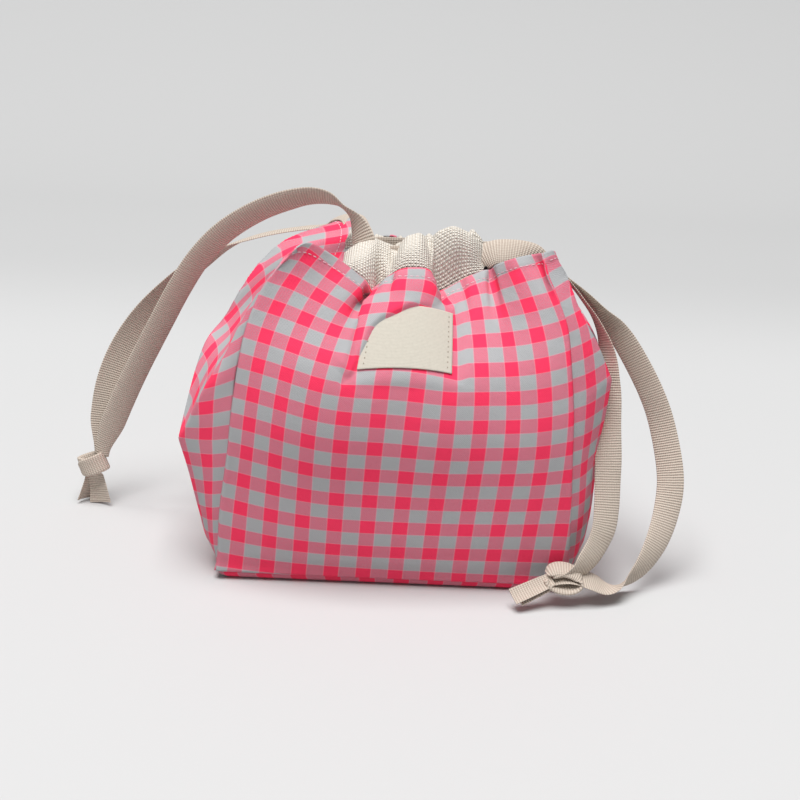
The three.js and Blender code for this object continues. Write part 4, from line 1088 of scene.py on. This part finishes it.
def on_wall(grid, cut, u, v):
    """Places and normals on a wall at flat places, by bilinear blending of its grid."""
    rows, columns = grid.shape[:2]
    c, r = np.clip(u / cut[0], 0, 1) * (columns - 1), np.clip(v / cut[1], 0, 1) * (rows - 1)
    c0, r0 = np.minimum(c.astype(int), columns - 2), np.minimum(r.astype(int), rows - 2)
    a, b = (c - c0)[..., None], (r - r0)[..., None]

    def pick(field):
        low = field[r0, c0] * (1 - a) + field[r0, c0 + 1] * a
        high = field[r0 + 1, c0] * (1 - a) + field[r0 + 1, c0 + 1] * a
        return low * (1 - b) + high * b

    return pick(grid), unit(pick(facing(grid)))


def stitches(name, places, ways, normals, length, radius, material):
    """Row of stitches: slim ellipsoids of a few faces, laid along the way they run."""
    turn, tilt = np.linspace(0, 2 * np.pi, 6, endpoint=False), np.linspace(0.15, np.pi - 0.15, 6)
    shape = np.stack([np.cos(tilt)[:, None] + 0 * turn, np.sin(tilt)[:, None] * np.cos(turn),
                      np.sin(tilt)[:, None] * np.sin(turn)], -1) * (length / 2, radius, radius)
    side = unit(np.cross(normals, ways))
    axes = np.stack([unit(ways), side, normals], 1)
    points = places[:, None, None] + np.einsum("rsk,nkx->nrsx", shape, axes)
    count, rows, sides = points.shape[:3]
    index = np.arange(rows * sides).reshape(rows, sides)
    one = quads(np.c_[index, index[:, :1]])
    faces = (one[None] + (np.arange(count) * rows * sides)[:, None, None]).reshape(-1, 4)
    starts = np.arange(count)[:, None] * rows * sides
    caps = [*(index[0][::-1] + starts), *(index[-1] + starts)]
    uv = np.broadcast_to(flat_uv(rows, sides, 0.002, length), (count, rows, sides, 2))
    return put(name, points, faces, uv, material, caps)


class BAG_OT_stitching(Operator):
    """Rows of stitches along the four hems"""
    bl_idname = "bag.stitching"
    bl_label = "Stitching"

    def execute(self, context):
        sizes = context.scene.bag_sizes
        for key, grid in walls().items():
            cut = WALL_CUTS[key]
            u = np.arange(0.003, cut[0] - 0.002, sizes.stitch)
            v = np.full_like(u, cut[1] - sizes.hem_depth)
            places, normals = on_wall(grid, cut, u, v)
            ahead, _ = on_wall(grid, cut, u + 0.001, v)
            row = stitches(f"{key}_hem_stitches", places, ahead - places, normals, 0.68 * sizes.stitch,
                           0.00032, finish("hem_thread"))
            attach(row, "bag")
        return {"FINISHED"}


class BAG_OT_label(Operator):
    """Bare woven label sewn on the front, with a row of stitches down each side"""
    bl_idname = "bag.label"
    bl_label = "Label"

    def execute(self, context):
        sizes = context.scene.bag_sizes
        walls()
        uv = flat_uv(49, 73, sizes.label_width, sizes.label_height)
        u = LABEL_START[0] + uv[..., 0] + 0.03 * uv[..., 1]
        v = LABEL_START[1] + uv[..., 1] - 0.02 * uv[..., 0]
        bed = soften(on_wall(LABEL_BED[0], WIDE_CUT, u, v)[0], 30)
        outward = facing(bed)
        places = bed + LABEL_LIFT * outward
        label = put_sheet("label_cloth", places, 0.0005, uv, finish("label_weave"))
        settle(label, "bag", "label_cotton", "label")
        for side, column in (("left", 4), ("right", -5)):
            line = spaced(places[:, column], 13)[1:-1]
            normals = np.repeat(outward[:, column].mean(axis=0)[None], len(line), axis=0)
            row = stitches(f"label_{side}_stitches", line, np.gradient(line, axis=0), normals, 0.0011,
                           0.00035, finish("label_thread"))
            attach(row, "bag")
        return {"FINISHED"}


class BAG_OT_tag(Operator):
    """Care tag of black satin sewn in at the hem, folded over so that its tip shows"""
    bl_idname = "bag.tag"
    bl_label = "Tag"

    def execute(self, context):
        grid = walls()["front"]
        uv = flat_uv(25, 19, *TAG_SIZE)
        u, v = TAG_START[0] + uv[..., 0], np.minimum(TAG_START[1] + uv[..., 1], WIDE_CUT[1])
        low, normals = on_wall(grid, WIDE_CUT, u, v)
        over = np.maximum(uv[..., 1] - 0.0095, 0)[..., None]
        places = low - 0.0028 * normals + over * np.array([0, 0.1, 1.0])
        tag = put_sheet("care_tag_cloth", places, 0.0004, uv, finish("black_satin"))
        settle(tag, "bag", "tag_satin", "care_tag")
        return {"FINISHED"}


def paper_sweep(colours):
    """Matt paper whose colour passes from the floor's to a darker painted shade on its far part by a smooth
    step of y; the shade stands in for the lesser light that falls on the raised back.
    """
    material = bpy.data.materials.new("paper_sweep")
    material.use_nodes = True
    tree = material.node_tree
    tree.nodes.clear()
    start = Wire(tree)
    place = start.node("ShaderNodeSeparateXYZ", {}, {0: start.out("ShaderNodeTexCoord", {}, {}, "Object")})
    # Painted shade: the far part of the floor darkens by a smooth step of y
    far = start.out("ShaderNodeMapRange", {"interpolation_type": "SMOOTHSTEP"}, {
        "Value": Wire(tree, place.outputs[1]), "From Min": 0.36, "From Max": 0.70})
    colour = far.mix(solid(colours.floor), solid(colours.backdrop_shade))
    shader = start.out("ShaderNodeBsdfPrincipled", {}, {"Base Color": colour, "Roughness": 0.9})
    start.node("ShaderNodeOutputMaterial", {}, {0: shader})
    return material


def sweep_mesh():
    """Floor that bends up by an arc of a circle behind the bag and goes on straight from there."""
    reach, start, radius, top = 9, 0.95, 0.6, (1.957, 0.993)
    turn = np.linspace(0, np.radians(55), 25)
    y = np.r_[-reach, start + radius * np.sin(turn), top[0]]
    z = np.r_[0, radius - radius * np.cos(turn), top[1]]
    x = np.array([-reach, reach])
    sweep = np.stack(np.broadcast_arrays(x[None], y[:, None], z[:, None]), -1)
    mesh = bpy.data.meshes.new("sweep")
    index = np.arange(sweep[..., 0].size).reshape(sweep.shape[:2])
    mesh.from_pydata(sweep.reshape(-1, 3).tolist(), [], quads(index).tolist())
    mesh.polygons.foreach_set("use_smooth", np.ones(len(mesh.polygons), bool))
    return mesh


def stand(name, data, axes, place):
    """New object of some data, with axes as the columns of its turn, at a place."""
    made = bpy.data.objects.new(name, data)
    made.matrix_world = Matrix(np.c_[axes, place].tolist() + [[0, 0, 0, 1]])
    bpy.context.scene.collection.objects.link(made)
    return made


class BAG_OT_stage(Operator):
    """Pale floor with a raised back, a soft lamp and the camera"""
    bl_idname = "bag.stage"
    bl_label = "Stage"

    def execute(self, context):
        scene = context.scene
        scene.view_settings.view_transform = "Standard"
        mesh = sweep_mesh()
        mesh.materials.append(paper_sweep(scene.bag_colours))
        stand("sweep", mesh, np.eye(3), (0, 0, 0))
        lamp = bpy.data.lights.new("softbox", "AREA")
        lamp.size = LAMP_SIZE
        lamp.energy = LAMP_POWER
        back = unit(np.array(LAMP_FROM) - np.array(LAMP_AIM))
        right = unit(np.cross((0, 1, 0), back))
        stand("softbox", lamp, np.stack([right, np.cross(back, right), back], 1), LAMP_FROM)
        world = bpy.data.worlds.new("studio")
        world.use_nodes = True
        background = world.node_tree.nodes["Background"].inputs
        background[0].default_value = (0.985, 1.0, 1.0, 1.0)
        background[1].default_value = WORLD_STRENGTH
        scene.world = world
        down, roll = np.radians([VIEW_DOWN, VIEW_ROLL])
        back = np.array([0, -np.cos(down), np.sin(down)])
        right, up = np.array([1.0, 0, 0]), np.array([0, np.sin(down), np.cos(down)])
        right, up = right * np.cos(roll) + up * np.sin(roll), up * np.cos(roll) - right * np.sin(roll)
        lens = bpy.data.cameras.new("camera")
        lens.lens = VIEW_LENS
        lens.sensor_width = VIEW_SENSOR
        scene.camera = stand("camera", lens, np.stack([right, up, back], 1), VIEW_FROM)
        return {"FINISHED"}


class BAG_PT_panel(Panel):
    """Lists the bag's sizes, colours and builders"""
    bl_idname = "BAG_PT_panel"
    bl_label = "Project Bag"
    bl_space_type = "VIEW_3D"
    bl_region_type = "UI"
    bl_category = "Bag"

    def draw(self, context):
        for group in (context.scene.bag_sizes, context.scene.bag_colours):
            box = self.layout.box()
            for key in group.__annotations__:
                box.prop(group, key)
        for operator in BUILDERS:
            self.layout.operator(operator.bl_idname)


BUILDERS = (
    BAG_OT_stage, BAG_OT_walls, BAG_OT_linings, BAG_OT_base, BAG_OT_casing, BAG_OT_runs, BAG_OT_knots,
    BAG_OT_strands, BAG_OT_stitching, BAG_OT_label, BAG_OT_tag)
CLASSES = (BagSizes, BagColours, *BUILDERS, BAG_PT_panel)


def register():
    for cls in CLASSES:
        bpy.utils.register_class(cls)
    bpy.types.Scene.bag_sizes = PointerProperty(type=BagSizes)
    bpy.types.Scene.bag_colours = PointerProperty(type=BagColours)


def unregister():
    del bpy.types.Scene.bag_sizes
    del bpy.types.Scene.bag_colours
    for cls in reversed(CLASSES):
        bpy.utils.unregister_class(cls)


def main():
    register()
    bpy.ops.bag.stage()
    bpy.ops.bag.walls()
    bpy.ops.bag.linings()
    bpy.ops.bag.base()
    bpy.ops.bag.casing()
    bpy.ops.bag.runs()
    bpy.ops.bag.knots()
    bpy.ops.bag.strands()
    bpy.ops.bag.stitching()
    bpy.ops.bag.label()
    bpy.ops.bag.tag()


if __name__ == "__main__":
    main()
